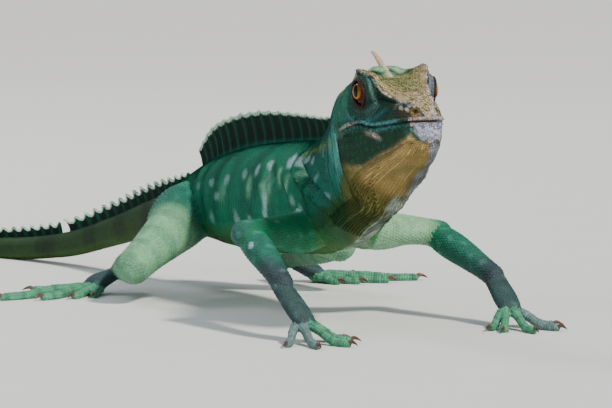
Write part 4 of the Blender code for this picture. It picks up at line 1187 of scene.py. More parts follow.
def trunk_colour(points, row, k, side):
    u, v, w = head_local(points)
    wander = waver(points, 6.0, 2.0)
    fine = waver(points, 1.7, 5.0)
    speck = waver(points, 0.75, 11.0)
    colour = spread("body", points)
    # torso: bright on the back, deep teal lower down, olive and then pale on the belly
    colour = mix(colour, "back", below(k, 3.0, 2.2) * 0.75)
    colour = mix(colour, "body_dark", smooth((wander + fine * 0.4) * 0.9) * band(k, 2.5, 8.5, 2.0) * 0.55)
    colour = mix(colour, "belly", smooth((k - 8.0 + wander * 0.5) / 1.6))
    colour = mix(colour, "pale_belly", above(k, 9.8, 1.2) * 0.6)
    bars = smooth(np.sin(row * 5.2 + wander) * 1.2) * band(k, 1.2, 8.0, 2.0) * band(row, 10.6, 15.5, 1.5)
    colour = mix(colour, "body_dark", 0.5 * bars)
    # tail: olive with darker rings
    tail = above(row, 14.2, 1.4)
    rings = smooth(np.sin(row * 6.6 + wander * 0.6) * 1.4 - 0.1)
    olive = mix(spread("tail", points), "tail_dark", rings * 0.7)
    olive = mix(olive, "pale_belly", above(k, 8.5, 2.0) * 0.45)
    colour = mix(colour, olive, tail)
    # neck, with light blue rows of scales at its side
    neck = band(row, 6.2, 8.9, 0.9)
    colour = mix(colour, "neck", neck * 0.8)
    stripes = smooth(np.sin(row * 30.0 + wander) * 1.2) * band(row, 6.2, 7.5, 0.4) * band(k, 4.6, 9.2, 0.9)
    rows_blue = neck * band(k, 4.2, 8.4, 1.4) * smooth(0.55 + 0.7 * wander) * below(row, 8.2, 1.0)
    colour = mix(colour, "neck_ring", 0.5 * rows_blue)
    colour = mix(colour, "throat_green", neck * above(k, 8.4, 1.0) * 0.9)
    colour = mix(colour, "neck_ring", stripes * 0.5)
    colour = body_marks(colour, points)
    # head: dark sides
    edge = brow_edge(row, side)
    face = spread("face", points)
    face = mix(face, "face_dark", np.clip(band(k, edge + 0.3, 6.6, 0.9) * below(row, 4.0, 1.2)
                                                 * (0.8 + 0.3 * wander), 0, 1))
    face = mix(face, "temple", above(row, 4.4, 0.8) * band(k, 2.2, 5.4, 1.4) * 0.8)
    # snout: brown beside the nostril, pinkish shields on top, and on the left side, where the key light
    # falls, paler lavender as painted light
    snout = below(row, 2.0, 1.2)
    face = mix(face, "snout", snout * band(k, 4.0, 7.0, 1.0) * np.where(side < 0, 0.85, 0.25))
    face = mix(face, "lavender", np.where(side > 0, below(row, 4.0, 2.0) * band(k, 2.1, 7.0, 0.8)
                                                 * smooth(0.65 + 0.5 * fine), 0) * 0.85)
    casque = smooth((row - 4.0 + 0.3 * fine) / 0.4) * below(k, 2.9, 0.8)
    face = mix(face, "casque", casque)
    # crown between the brows, granular tan
    back_edge = 4.2 + 0.5 * above(k, 0.9, 0.9)
    crown = smooth((edge + 0.1 - k) / 0.22) * smooth((back_edge - row + 0.2 * fine) / 0.3)
    tan = spread("crown", points)
    tan = mix(tan, "crown_dark", smooth(speck * 0.9 + 0.3 * fine + 0.05) * 0.75)
    tan = mix(tan, "crown_green", band(row, 2.2, 4.9, 1.2) * below(k, 1.35, 0.8)
              * smooth(0.75 + 0.6 * fine) * 0.75)
    tan = mix(tan, "brow", below(row, 2.3, 0.8) * smooth(speck * 1.2 + 0.2) * 0.55)
    face = mix(face, tan, crown)
    knobs = ridge(k, edge, np.where(side > 0, 0.4, 0.27)) * band(row, 0.9, 4.9, 0.5)
    face = mix(face, "brow", knobs * smooth(0.75 + 0.5 * fine) * np.where(side > 0, 1.0, 0.9))
    face = mix(face, "brow", below(row, 1.9, 0.9) * above(k, 1.6, 0.4) * below(k, 4.9, 0.8)
               * smooth(speck * 1.1 + 0.45) * 0.7)
    # lips
    gap = w - mouth_height(u)
    lip = ridge(gap, 0.0, 1.5) * below(u, 36.0, 4.0)
    front = below(row, 0.9, 0.8)
    face = mix(face, "lip_blue", lip * below(row, 4.6, 1.0) * smooth(0.4 + 0.6 * wander) * 0.6)
    face = mix(face, "lip", lip * front * smooth(0.8 + 0.5 * speck) * 0.85)
    # jowl, and the lavender white chin with pink edges
    face = mix(face, "jowl", smooth((-gap - 1.3) / 0.9) * above(row, 0.7, 0.6) * 0.95)
    face = mix(face, "temple", smooth((-gap - 1.3) / 0.9) * smooth(speck * 1.4 - 0.35) * 0.35)
    chin = smooth((-gap - 0.4) / 0.5) * smooth((np.where(side > 0, 0.95, 0.5) - row + 0.25 * fine) / 0.4)
    face = mix(face, "chin", chin)
    face = mix(face, "lip", chin * smooth(0.2 + speck * 1.1 + 0.4 * (side > 0)) * 0.6)
    # painted light: on the left side, where the key light falls, the jowl and throat paler lavender and the
    # gold held back
    painted_light_band = np.where(side > 0, band(row, 0.4, 5.6, 0.9) * band(k, 7.4, 10.6, 0.6), 0.0)
    face = mix(face, BUILT["tones"]["chin"] * 1.4, painted_light_band * smooth(0.85 + 0.4 * fine) * 0.9)
    colour = mix(colour, face, below(row, 7.0, 0.8))
    # throat: golden in front, olive and green further back
    throat = smooth((k - np.interp(row, THROAT_EDGE_ROWS, THROAT_EDGE_PLACES) - 0.12 * wander) / 0.4)
    gold = spread("throat", points)
    gold = mix(gold, "throat_dark", smooth((row - 3.2 + wander * 0.9) / 2.4) * 0.9)
    gold = mix(gold, "throat_green", smooth((row - 5.6 + wander * 0.5 + (9.6 - k) * 0.5) / 2.0) * 0.65)
    colour = mix(colour, gold, throat * band(row, 0.6, 8.9, 0.6) * (1 - 0.8 * painted_light_band))
    bib = smooth((k - np.where(side > 0, 9.9, 10.8)) / 0.4) * band(row, 4.8, 9.6, 0.9)
    colour = mix(colour, "bib", bib * smooth(0.75 + 0.5 * fine) * 0.85)
    colour = line_marks(colour, points)
    # round the eye, nostril and in the mouth and ear
    colour = eye_marks(colour, points, k)
    hole = np.sqrt((u - NOSTRIL[0]) ** 2 + (np.abs(v) - NOSTRIL[1]) ** 2 + (w - NOSTRIL[2]) ** 2)
    colour = mix(colour, "nostril_rim", below(hole, 2.0, 0.8) * 0.8)
    colour = mix(colour, "nostril", below(hole, 1.05, 0.35))
    inside = ridge(gap, 0.0, 0.24) * below(u, 34.0, 2.0) * below(row, 7.0, 0.5)
    colour = mix(colour, "mouth", np.clip(inside * 1.3, 0, 1) * 0.95)
    drum = np.sqrt(((u - EAR_CENTRE[0]) / EAR_RADII[0]) ** 2 + ((w - EAR_CENTRE[2]) / EAR_RADII[1]) ** 2)
    colour = mix(colour, "ear", np.where(np.abs(v) > 8, below(drum, 1.15, 0.3) * 0.8, 0))
    # painted shade along the wider skin folds
    for spots, width, strength in BUILT["fold_spots"]:
        colour = mix(colour, "mouth", near_line(points, spots, width) * strength)
    return colour * (0.93 + 0.12 * fine)[:, None]


def limb_colour(points, kinds, share, marks):
    limb, part = kinds[:, 0], kinds[:, 1]
    wander = waver(points, 5.0, 8.0)
    fine = waver(points, 1.6, 3.0)
    arm = limb < 2
    left = (limb == 1) | (limb == 3)
    colour = spread("arm", points)
    colour = mix(colour, "forearm", np.where(arm & (part == 1), smooth(share * 3), 0))
    colour = mix(colour, "forearm", np.where(arm & (part == 0), smooth((share - 0.72) * 4), 0))
    patchy = share + 0.16 * wander + 0.05 * fine
    colour = mix(colour, "slate", np.where(arm & (part == 1), smooth((patchy - 0.45) * 2.2), 0))
    colour = mix(colour, "slate", np.where(arm & (part == 0), smooth((patchy - 0.8) * 3) * 0.5, 0))
    colour = mix(colour, "slate", np.where(part == 2, 0.9, 0))
    # painted light: the pale mint of the thigh's lit top, painted all round the thigh and on the shank
    colour = mix(colour, "thigh", np.where(~arm & (part == 0), smooth((share - 0.16) * 5), 0))
    colour = mix(colour, "groin", np.where(~arm & (part == 0), smooth((0.42 - share) * 5) * 0.8, 0))
    colour = mix(colour, "thigh", np.where(~arm & (part == 1), 0.8, 0))
    colour = mix(colour, "tail", np.where(~arm & (part == 1), smooth((share - 0.5) * 3) * 0.5, 0))
    bars = smooth(np.sin(share * 34 + wander) * 1.3)
    colour = mix(colour, "groin", np.where(~arm & (part < 2), bars * 0.28, 0))
    colour = mix(colour, "digit", np.where(part == 3, smooth((share - 0.12) * 6), 0))
    rings = smooth(np.sin(share * 40 + marks) * 1.5 - 0.2)
    colour = mix(colour, "digit_dark", np.where(part == 3, rings * 0.75, 0))
    colour = mix(colour, "slate_pale", np.where(arm & (part == 3) & (marks > 2.5), 0.6, 0))
    # painted light: the left upper arm, on the side the key light falls on, paler mint
    pale = 0.75 * below(share, 0.95, 0.4)
    colour = mix(colour, "shoulder", np.where(arm & left & (part == 0), pale, 0))
    flecks = smooth(fine * 1.6 - 0.35) * np.where(arm & (part < 2), 0.16, 0.08)
    colour = mix(colour, "neck_ring", flecks)
    for spot, radius in (((-25.5, 66.5, 36.2), 1.5), ((-33.0, 63.5, 36.0), 1.3), ((-41.0, 56.0, 29.0), 1.3)):
        gap = np.linalg.norm(points - np.array(spot), axis=1)
        colour = mix(colour, "spot", smooth((radius - gap) / 1.0 + 0.5) * 0.85)
    return colour * (0.94 + 0.10 * fine)[:, None]


def markings(points):
    """Colour of every point: the trunk's and the limbs', mixed where they meet."""
    place_trees()
    found = []
    for key, colour in (("trunk_places", trunk_colour), ("limb_places", limb_colour)):
        tree, *tables = BUILT[key]
        near = [tree.find(p) for p in points.tolist()]
        index = gather(near, 1)
        found.append((colour(points, *(table[index] for table in tables)), gather(near, 2)))
    (trunk, far), (limb, limb_far) = found
    return np.clip(mix(limb, trunk, smooth(0.5 + (limb_far - far) / 3.5)), 0.0, 1.0)


def paint(thing, colours, lift=None):
    """Stores the markings, and how high each point stands on its scale, on a mesh."""
    layer = thing.data.color_attributes.new("hide", "FLOAT_COLOR", "POINT")
    full = np.ones((len(colours), 4), np.float32)
    full[:, :3] = colours
    layer.data.foreach_set("color", full.ravel())
    if lift is None:
        lift = np.zeros(len(colours))
    height = thing.data.attributes.new("lift", "FLOAT", "POINT")
    height.data.foreach_set("value", np.asarray(lift, np.float32))


# Scales
def tiered(foot, shoulder, tip):
    """A scale from a ring at its foot, a ring of as many points higher up, and a tip."""
    n = len(foot)
    faces = [(j, (j + 1) % n, n + j) for j in range(n)]
    faces += [((j + 1) % n, n + (j + 1) % n, n + j) for j in range(n)]
    faces += [(n + j, n + (j + 1) % n, 2 * n) for j in range(n)]
    return {"points": foot + shoulder + [tip], "faces": faces}


SQUARE = ((-1, -1), (1, -1), (1, 1), (-1, 1))
HEXAGON = [(math.cos(math.pi * j / 3), math.sin(math.pi * j / 3), -0.45) for j in range(6)]
DOME = tiered(HEXAGON, [(0.62 * math.cos(math.pi * j / 3 + 0.5), 0.62 * math.sin(math.pi * j / 3 + 0.5), 0.72)
                        for j in range(6)], (0.05, 0.0, 1.0))
LOW = {"points": HEXAGON + [(0.15, 0.0, 1.0)], "faces": [(j, (j + 1) % 6, 6) for j in range(6)]}
KEEL = {
    "points": [(-1.0, 0.0, -0.45), (-0.45, 0.95, -0.4), (0.5, 0.85, -0.2), (1.2, 0.0, 0.3),
               (0.5, -0.85, -0.2), (-0.45, -0.95, -0.4), (-0.35, 0.0, 0.75), (0.65, 0.0, 1.0)],
    "faces": [(0, 1, 6), (1, 7, 6), (1, 2, 7), (2, 3, 7), (0, 6, 5), (5, 6, 7), (5, 7, 4), (4, 7, 3)],
}
BEAD = {
    "points": [(-1.0, 0.0, -0.45), (-0.6, 0.8, -0.45), (0.6, 0.8, -0.45), (1.0, 0.0, -0.45),
               (0.6, -0.8, -0.45), (-0.6, -0.8, -0.45), (-0.55, 0.36, 0.75), (0.55, 0.36, 0.75),
               (0.55, -0.36, 0.75), (-0.55, -0.36, 0.75), (0.0, 0.0, 1.0)],
    "faces": [(0, 1, 6), (1, 2, 6), (2, 7, 6), (2, 3, 7), (3, 8, 7), (3, 4, 8), (4, 5, 8), (5, 9, 8),
              (5, 0, 9), (0, 6, 9), (6, 7, 10), (7, 8, 10), (8, 9, 10), (9, 6, 10)],
}
PLATE = tiered([(a, b, -0.5) for a, b in SQUARE], [(a * 0.82, b * 0.86, 0.7) for a, b in SQUARE],
               (0.1, 0.0, 1.0))


def grid_sample(rows_at, around_at, side, grid=None):
    """Points on the sculpted net, read between its rows and columns."""
    rows = BUILT["rows"]
    grid = BUILT["grid"] if grid is None else grid
    half = BUILT["columns"][:HALF_COLUMNS + 1]
    i = np.clip(np.searchsorted(rows, rows_at) - 1, 0, len(rows) - 2)
    fi = ((rows_at - rows[i]) / (rows[i + 1] - rows[i]))[:, None]
    j = np.clip(np.searchsorted(half, around_at) - 1, 0, HALF_COLUMNS - 1)
    fj = ((around_at - half[j]) / (half[j + 1] - half[j]))[:, None]
    total = grid.shape[1]
    a, b = (j, j + 1) if side > 0 else ((total - j) % total, (total - j - 1) % total)
    return ((grid[i, a] * (1 - fi) + grid[i + 1, a] * fi) * (1 - fj)
            + (grid[i, b] * (1 - fi) + grid[i + 1, b] * fi) * fj)


def trunk_scales(first, last, low, high, long, wide, stagger=0.5, jitter=0.0, seed=1, overlap=1.12):
    """Places, lie and sizes of scales in rows round a part of the trunk, both sides."""
    draw = np.random.default_rng(seed)
    line_at = np.linspace(first, last, 500)
    run = run_along(grid_sample(line_at, np.full(500, (low + high) / 2), 1))
    ks = np.linspace(low, high, 160)
    found, number, at = [], 0, 0.0
    while at < run[-1]:
        row = float(np.interp(at, run, line_at))
        pitch = long(row) if callable(long) else long
        for side in (1, -1):
            steps = lengths(np.diff(grid_sample(np.full(160, row), ks, side), axis=0))
            widths = wide(row, (ks[1:] + ks[:-1]) / 2) if callable(wide) else np.full(159, wide)
            count = np.concatenate([[0.0], np.cumsum(steps / widths)])
            slots = np.arange(0.25 + stagger * (number % 2), count[-1], 1.0)
            if not len(slots):
                continue
            k = np.interp(slots + draw.uniform(-jitter, jitter, len(slots)), count, ks)
            w = np.interp(slots, count, np.concatenate([widths[:1], widths])) * overlap / 2
            r = row + draw.uniform(-jitter, jitter, len(k)) * (last - first) * pitch / run[-1]
            r = np.clip(r, first, last)
            here, behind, ahead = (grid_sample(at_row, k, side) for at_row in
                                   (r, np.minimum(r + 0.04, 27.0), np.maximum(r - 0.04, -0.9)))
            found += [(here[n], behind[n] - ahead[n], pitch * overlap / 2, w[n], r[n], k[n], side)
                      for n in range(len(k))]
        at += pitch
        number += 1
    return found


def pleat_beads(first, last, low, pitch, long):
    """Beads in unbroken lines lengthwise down the throat; every second line ends where they close up."""
    ks = np.linspace(low, 11.0, 200)
    rows_at = np.linspace(first, last, 400)
    found = []
    for side in (1, -1):
        run = run_along(grid_sample(np.full(200, 4.6), ks, side))
        lines = np.interp(np.arange(pitch / 2, run[-1], pitch), run, ks)
        paths = [grid_sample(rows_at, np.full(400, k), side) for k in lines]
        for number, (k, line) in enumerate(zip(lines, paths)):
            gap = lengths(line - paths[number + 1 if number + 1 < len(lines) else number - 1])
            climb = run_along(line)
            for at in np.arange(0.0, climb[-1], long):
                i = min(int(np.searchsorted(climb, at)), 398)
                close = gap[i] < 0.55 * pitch
                if not (close and number % 2):
                    wide = min(gap[i] * (2 if close else 1), 1.4 * pitch)
                    found.append((line[i], line[i + 1] - line[i], long, wide * 0.42, rows_at[i], k, side))
    return found


def lip_gap(point):
    """Height over the mouth line; far off behind its corner."""
    u, _, w = head_local(point)
    return float(w - mouth_height(u)) if u < 35 else math.copysign(9.0, w + 1.9)


def lip_scales(above, wide):
    """A row of plates along a lip at a height over the mouth line."""
    rows, columns = BUILT["rows"], BUILT["columns"][:HALF_COLUMNS + 1]
    around = np.nonzero((columns > 4.5) & (columns < 9.6))[0]
    found = []
    for side in (1, -1):
        cells = around if side > 0 else (-around) % BUILT["grid"].shape[1]
        line = []
        for i in np.nonzero((rows > -0.75) & (rows < 5.3))[0]:
            u, _, w = head_local(BUILT["grid"][i, cells])
            best = int(np.abs(w - mouth_height(u) - above).argmin())
            line.append((BUILT["grid"][i, cells[best]], rows[i], columns[around[best]]))
        places = gather(line, 0)
        run = run_along(places)
        at = 0.3
        while at < run[-1]:
            long = 1.5 + 0.7 * smooth(at / 18.0)
            i = int(np.searchsorted(run, at))
            if 1 <= i < len(places) - 1:
                lie = places[i + 1] - places[i - 1]
                found.append((places[i], lie, long * 0.5, wide * 0.5, *line[i][1:], side))
            at += long
    return found


def tube_scales(form, first, last, long, wide, stagger=0.5, overlap=1.12):
    """The same on a limb's rings; scales point to the far end."""
    rings = np.array(form[0])
    total = rings.shape[1]
    run = run_along(rings.mean(axis=1))
    found, number, at = [], 0, run[-1] * first
    while at < run[-1] * last:
        i, f = step_at(run, at)
        ring = rings[i] * (1 - f) + rings[i + 1] * f
        girth = lengths(np.roll(ring, -1, axis=0) - ring).sum()
        count = max(6, int(round(girth / wide)))
        turns = (np.arange(count) + stagger * (number % 2)) / count * total
        a = turns.astype(int) % total
        g = (turns % 1.0)[:, None]
        here, lie = (one[a] * (1 - g) + one[(a + 1) % total] * g for one in (ring, rings[i + 1] - rings[i]))
        found += [(here[n], lie[n], long * overlap / 2, girth / count * overlap / 2, at / run[-1],
                   turns[n] / total, 0) for n in range(count)]
        at += long
        number += 1
    return found


def crowded(spot, spacing):
    """Whether a scale already stands this near; where none does, the place is taken."""
    cells = BUILT.setdefault("taken", {})
    x, y, z = (int(math.floor(c)) for c in spot)
    for a, b, c in itertools.product((-1, 0, 1), repeat=3):
        for other in cells.get((x + a, y + b, z + c), ()):
            if sum((p - q) ** 2 for p, q in zip(other, spot)) < spacing ** 2:
                return True
    cells.setdefault((x, y, z), []).append(spot)
    return False


def seats(found, eye_clear, spaced):
    """Where each scale meets the skin; near a limb's root only where there is room."""
    tree = BUILT["skin_tree"]
    roots = np.array([LIMBS[name][1] for name in LIMBS])
    away = np.linalg.norm(gather(found, 0)[:, None, :] - roots[None], axis=2).min(axis=1)
    zones = (away < ROOT_ZONE) | spaced
    hits = []
    for n, item in enumerate(found):
        if near_eye(item[0], eye_clear):
            continue
        hit = tree.find_nearest(Vector(into_frame(item[0]).tolist()))
        if hit[0] is not None and hit[3] / MM < (ROOT_FIT if zones[n] else SKIN_FIT):
            hits.append((hit[3] / MM > SKIN_FIT, n, hit))
    hits.sort(key=lambda one: one[:2])
    kept = []
    for _, n, hit in hits:
        spot = out_of_frame(hit[0][:])
        if not zones[n] or not crowded(spot.tolist(), 1.3 * min(found[n][2:4])):
            kept.append((found[n], spot, np.array(hit[1][:])))
    return kept


def near_eye(point, reach):
    for side in (1, -1):
        away = (point - eye_centre(side)) @ eye_axes(side).T
        if away[1] > 0.5 and opening_place(away)[0] < reach:
            return True
    return False


def scale_mesh(name, template, places, sizes, colours, spots, finish):
    """One joined mesh of a scale set at many places, which give its root, its lie and its up direction."""
    rest, lies, ups = places
    lies = unit(lies - ups * (lies * ups).sum(axis=1, keepdims=True))
    shape, faces = np.array(template["points"], float), np.array(template["faces"])
    verts = rest[:, None, :]
    for n, (way, size) in enumerate(zip((lies, np.cross(ups, lies), ups), sizes)):
        verts = verts + way[:, None, :] * (shape[None, :, n] * size[:, None])[..., None]
    corner = verts[0][faces[0]]
    if np.dot(np.cross(corner[1] - corner[0], corner[2] - corner[0]), ups[0]) < 0:
        faces = faces[:, ::-1]
    everything = (faces[None] + (np.arange(len(rest)) * len(shape))[:, None, None]).reshape(-1, 3)
    made = make_object(name, on_floor(verts.reshape(-1, 3)), everything, finish)
    lift = np.clip((shape[:, 2] + 0.45) / 1.45, 0, 1)
    paint(made, np.repeat(np.clip(colours, 0, 1), len(shape), axis=0), np.tile(lift, len(rest)))
    lay_patches(made, spots, shape, everything)
    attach(made, "root")
    return made


def scale_piece(name, found, template, height, finish, slot, seed, tint=0.06, bright=1.0, eye_clear=1.32,
                spaced=False):
    """Scales set on the skin."""
    draw = np.random.default_rng(seed)
    kept = seats(found, eye_clear, spaced)
    found, rest, ups = [k[0] for k in kept], gather(kept, 1), gather(kept, 2)
    size = draw.uniform(0.92, 1.06, len(rest))
    tall = draw.uniform(0.85, 1.15, len(rest)) * height
    colours = markings(rest) * (bright + draw.uniform(-tint, tint, (len(rest), 1)))
    return scale_mesh(name, template, (rest, gather(found, 1), ups),
                      (gather(found, 2) * size, gather(found, 3) * size, tall), colours,
                      np.array([one[4:7] for one in found]), finish)


def lay_patches(thing, spots, shape, faces):
    """A small patch for each scale at its root's place on the body unrolled flat."""
    flat = spots[:, :2] - spots[:, :2].min(axis=0)
    v, b = (flat / np.maximum(flat.max(axis=0), 1e-6)).T
    side = spots[:, 2]
    u = np.where(side == 0, b, 0.5 + side * b / 2)
    patch = 0.003 + 0.994 * np.stack([u, v], axis=1)[:, None] + shape[None, :, 1::-1] * 0.0014
    layer = thing.data.uv_layers.new(name="OFBake")
    layer.data.foreach_set("uv", patch.reshape(-1, 2)[faces.ravel()].astype(np.float32).ravel())


# Crests and sail
def vane(name, form, finish, colours):
    """A closed upright vane from its points, half thicknesses and sideways directions."""
    points, halves, sides = form
    count, rows = halves.shape
    offset = sides * halves[..., None]
    verts = np.stack([points + offset, points - offset], axis=1).reshape(-1, 3)
    stride = 2 * rows
    faces = []
    for i in range(count - 1):
        for k in range(rows - 1):
            for low in (0, rows):
                a, b = i * stride + low + k, (i + 1) * stride + low + k
                faces.append((a, b, b + 1, a + 1))
        for k in (0, rows - 1):
            a, b = i * stride + k, (i + 1) * stride + k
            faces.append((a, b, b + rows, a + rows))
    for i in (0, count - 1):
        for k in range(rows - 1):
            a = i * stride + k
            faces.append((a, a + 1, a + 1 + rows, a + rows))
    made = outward_object(name, verts, faces, finish)
    paint(made, np.repeat(colours.reshape(count, 1, rows, 3), 2, axis=1).reshape(-1, 3))
    return made


def rayed_columns(rows, rays, heights, rake, notch, lean=0.0, levels=16, per_ray=12, ray_half=0.72,
                  membrane=0.3):
    """A rayed vane's points, half thicknesses and sideways directions, and each column's gap to a ray."""
    columns, shares = [], []
    count = rays * per_ray
    tilt = math.radians(lean)
    for i in range(count + 1):
        f = i / count
        foot, up, side, back = net_frame(rows[0] + (rows[1] - rows[0]) * f)
        phase = (i / per_ray) % 1.0
        from_ray = min(phase, 1 - phase)
        height = float(profile(heights, [f])[0]) * (1.0 - notch * math.sin(math.pi * phase) ** 0.8)
        rise = unit(up * math.cos(tilt) + side * math.sin(tilt))
        column = []
        for g in (k / (levels - 1) for k in range(levels)):
            ray = math.exp(-(from_ray / 0.15) ** 2) * (1 - 0.5 * g)
            half = membrane + (ray_half - membrane) * ray
            half *= 1.0 if g < 0.9 else 1 - 0.5 * (g - 0.9) / 0.1
            reach = height * g - CREST_SINK * (1 - g) ** 3
            drift = math.tan(math.radians(rake)) * height * g * g * (0.25 + 0.75 * min(f * 6, 1))
            column.append((foot + (rise if g > 0.05 else up) * reach + back * drift, half, side))
        columns.append(column)
        shares.append(from_ray)
    return [np.array([gather(column, n) for column in columns]) for n in range(3)], np.array(shares)


def vane_scales(form, first, last, low, high, long, wide):
    """Scale places over both faces of a vane."""
    points, halves, sides = form
    count, levels = halves.shape
    run = run_along(points[:, levels // 2])
    found, number, at = [], 0, run[int(first * (count - 1))]
    while at < run[int(last * (count - 1))]:
        i, f = step_at(run, at)
        line, half = (one[i] * (1 - f) + one[i + 1] * f for one in (points, halves))
        climb = run_along(line)
        for s in np.arange(climb[-1] * low + wide * 0.5 * (number % 2), climb[-1] * high, wide):
            spot = np.array([np.interp(s, climb, line[:, n]) for n in range(3)])
            k = step_at(climb, s)[0]
            for sign in (1, -1):
                out = unit(sides[i, k] * sign)
                found.append((spot + out * np.interp(s, climb, half), line[k + 1] - line[k], out, i / count,
                              s / climb[-1], sign))
        at += long
        number += 1
    return found


def free_scales(name, found, sizes, template, finish, tone):
    """Scales with their own given up direction, for crests and edges."""
    draw = np.random.default_rng(5)
    size = draw.uniform(0.88, 1.1, len(found))
    tone = tone * (1 + draw.uniform(-0.08, 0.08, (len(found), 1)))
    places = gather(found, 0), gather(found, 1), unit(gather(found, 2))
    return scale_mesh(name, template, places, [size * one for one in sizes], tone,
                      np.array([one[3:6] for one in found]), finish)


def crest_colours(points, shares, dark, pale, edge_from, foot):
    """Membrane dark, rays paler, and a light edge; on the sail and tail crests the near-black membrane is
    painted shade, and the light edge is a painted highlight.
    """
    count, levels = points.shape[:2]
    flat = points.reshape(-1, 3)
    g = np.tile(np.linspace(0, 1, levels), count)
    rays = np.exp(-(np.repeat(shares, levels) / 0.16) ** 2) * (0.55 + 0.3 * waver(flat, 4.0, 1.0))
    colour = mix(spread(dark, flat), pale, rays)
    colour = mix(colour, foot, below(g, 0.22, 0.2) * 0.85)
    return mix(colour, "edge", smooth((g - edge_from) / 0.08))


# Node groups and materials
def feed(tree, socket, value):
    """Links a socket's value to an input, or sets a plain one on it."""
    if isinstance(value, bpy.types.NodeSocket):
        tree.links.new(value, socket)
    else:
        socket.default_value = value


def node(tree, kind, **values):
    """A shader node; each value goes to the input of its name, or else to a property."""
    made = tree.nodes.new("ShaderNode" + kind)
    for key, value in values.items():
        label = key.replace("_", " ")
        if label in made.inputs:
            feed(tree, made.inputs[label], value)
        else:
            setattr(made, key, value)
    return made


def math_node(tree, operation, *values, clamp=False):
    made = node(tree, "Math", operation=operation, use_clamp=clamp)
    for socket, value in zip(made.inputs, values):
        feed(tree, socket, value)
    return made.outputs[0]


def mix_colour(tree, blend, factor, first, second):
    made = node(tree, "Mix", data_type="RGBA", blend_type=blend)
    for number, value in ((0, factor), (6, first), (7, second)):
        feed(tree, made.inputs[number], value)
    return made.outputs[2]


def brighten(tree, colour, strength):
    made = node(tree, "VectorMath", operation="SCALE", Scale=strength)
    feed(tree, made.inputs[0], colour)
    return made.outputs[0]


def noise(tree, **values):
    place = node(tree, "TexCoord").outputs["Object"]
    return node(tree, "TexNoise", Vector=place, **values).outputs["Fac"]


def stored(tree, name):
    return node(tree, "Attribute", attribute_name=name).outputs


def node_group(name, inputs, outputs, fill):
    """A shader node group, built once; fill places its nodes and gives what it puts out."""
    if name not in bpy.data.node_groups:
        group = bpy.data.node_groups.new(name, "ShaderNodeTree")
        for label, value in inputs.items():
            kind = "NodeSocketColor" if isinstance(value, tuple) else "NodeSocketFloat"
            group.interface.new_socket(label, in_out="INPUT", socket_type=kind).default_value = value
        for label, kind in outputs.items():
            group.interface.new_socket(label, in_out="OUTPUT", socket_type="NodeSocket" + kind)
        start, end = (group.nodes.new("NodeGroup" + way) for way in ("Input", "Output"))
        for label, socket in fill(group, start.outputs).items():
            feed(group, end.inputs[label], socket)
    return bpy.data.node_groups[name]


def mottle_group():
    """Uneven pigment: lighter and darker clouds and fine specks over a colour."""
    def fill(tree, given):
        clouds = noise(tree, Scale=given["Cloud Size"], Detail=4.0, Roughness=0.6)
        specks = noise(tree, Scale=given["Speck Size"], Detail=2.0, Roughness=0.5)
        both = [math_node(tree, "MULTIPLY", math_node(tree, "MULTIPLY_ADD", one, 2.0, -1.0), given[label])
                for one, label in ((clouds, "Clouds"), (specks, "Specks"))]
        strength = math_node(tree, "ADD", math_node(tree, "ADD", *both), 1.0)
        return {"Color": brighten(tree, given["Color"], strength), "Cloud": clouds}

    inputs = {"Color": (0.1, 0.3, 0.2, 1), "Clouds": 0.35, "Specks": 0.3, "Cloud Size": 160.0,
              "Speck Size": 1500.0}
    return node_group("pigment_mottle", inputs, {"Color": "Color", "Cloud": "Float"}, fill)


def grain_group():
    """Height of small packed grains, with creases between them."""
    def fill(tree, given):
        place = node(tree, "TexCoord").outputs["Object"]
        cells = node(tree, "TexVoronoi", feature="DISTANCE_TO_EDGE", Vector=place, Scale=given["Grain Size"])
        raised = math_node(tree, "MULTIPLY", cells.outputs["Distance"], 3.2, clamp=True)
        fine = math_node(tree, "MULTIPLY", noise(tree, Scale=2600.0, Detail=3.0), 0.25)
        height = math_node(tree, "MULTIPLY", math_node(tree, "ADD", raised, fine), given["Stretch"])
        return {"Height": height, "Crease": math_node(tree, "SUBTRACT", 1.0, raised, clamp=True)}

    return node_group("skin_grain", {"Grain Size": 1400.0, "Stretch": 1.0},
                      {"Height": "Float", "Crease": "Float"}, fill)


def new_material(name):
    made = bpy.data.materials.new(name)
    made.use_nodes = True
    return made, made.node_tree


def set_shader(tree, **values):
    shader = tree.nodes["Principled BSDF"]
    for key, value in values.items():
        feed(tree, shader.inputs[key.replace("_", " ")], value)


def hide_material(name, grain, bump, rough, clouds=0.3, specks=0.25, painted_rim_shade=0.45, crease=0.35, shine=0.24):
    """Skin or scales: the stored markings, mottled, with painted shade in the creases between grains and at
    each scale's foot.
    """
    made, tree = new_material(name)
    mottle = node(tree, "Group", node_tree=mottle_group(), Clouds=clouds, Specks=specks,
                  Color=stored(tree, "hide")["Color"]).outputs
    grains = node(tree, "Group", node_tree=grain_group(), Grain_Size=grain).outputs
    # painted shade: darker in the creases between the small grains
    shade = math_node(tree, "MULTIPLY", grains["Crease"], crease)
    colour = mix_colour(tree, "MULTIPLY", shade, mottle["Color"], (0.25, 0.28, 0.25, 1))
    # painted shade: each scale darker towards its foot, where it meets the skin
    if painted_rim_shade:
        low = math_node(tree, "SUBTRACT", 1.0, stored(tree, "lift")["Fac"], clamp=True)
        low = math_node(tree, "MULTIPLY", math_node(tree, "POWER", low, 1.6), painted_rim_shade)
        colour = mix_colour(tree, "MULTIPLY", low, colour, (0.22, 0.25, 0.22, 1))
    uneven = math_node(tree, "MULTIPLY_ADD", mottle["Cloud"], 0.18, rough - 0.09)
    uneven = math_node(tree, "ADD", uneven, math_node(tree, "MULTIPLY", grains["Crease"], 0.15))
    relief = node(tree, "Bump", Strength=bump, Distance=0.00012, Height=grains["Height"])
    set_shader(tree, Base_Color=colour, Roughness=uneven, Normal=relief.outputs["Normal"],
               Specular_IOR_Level=shine)
    return made


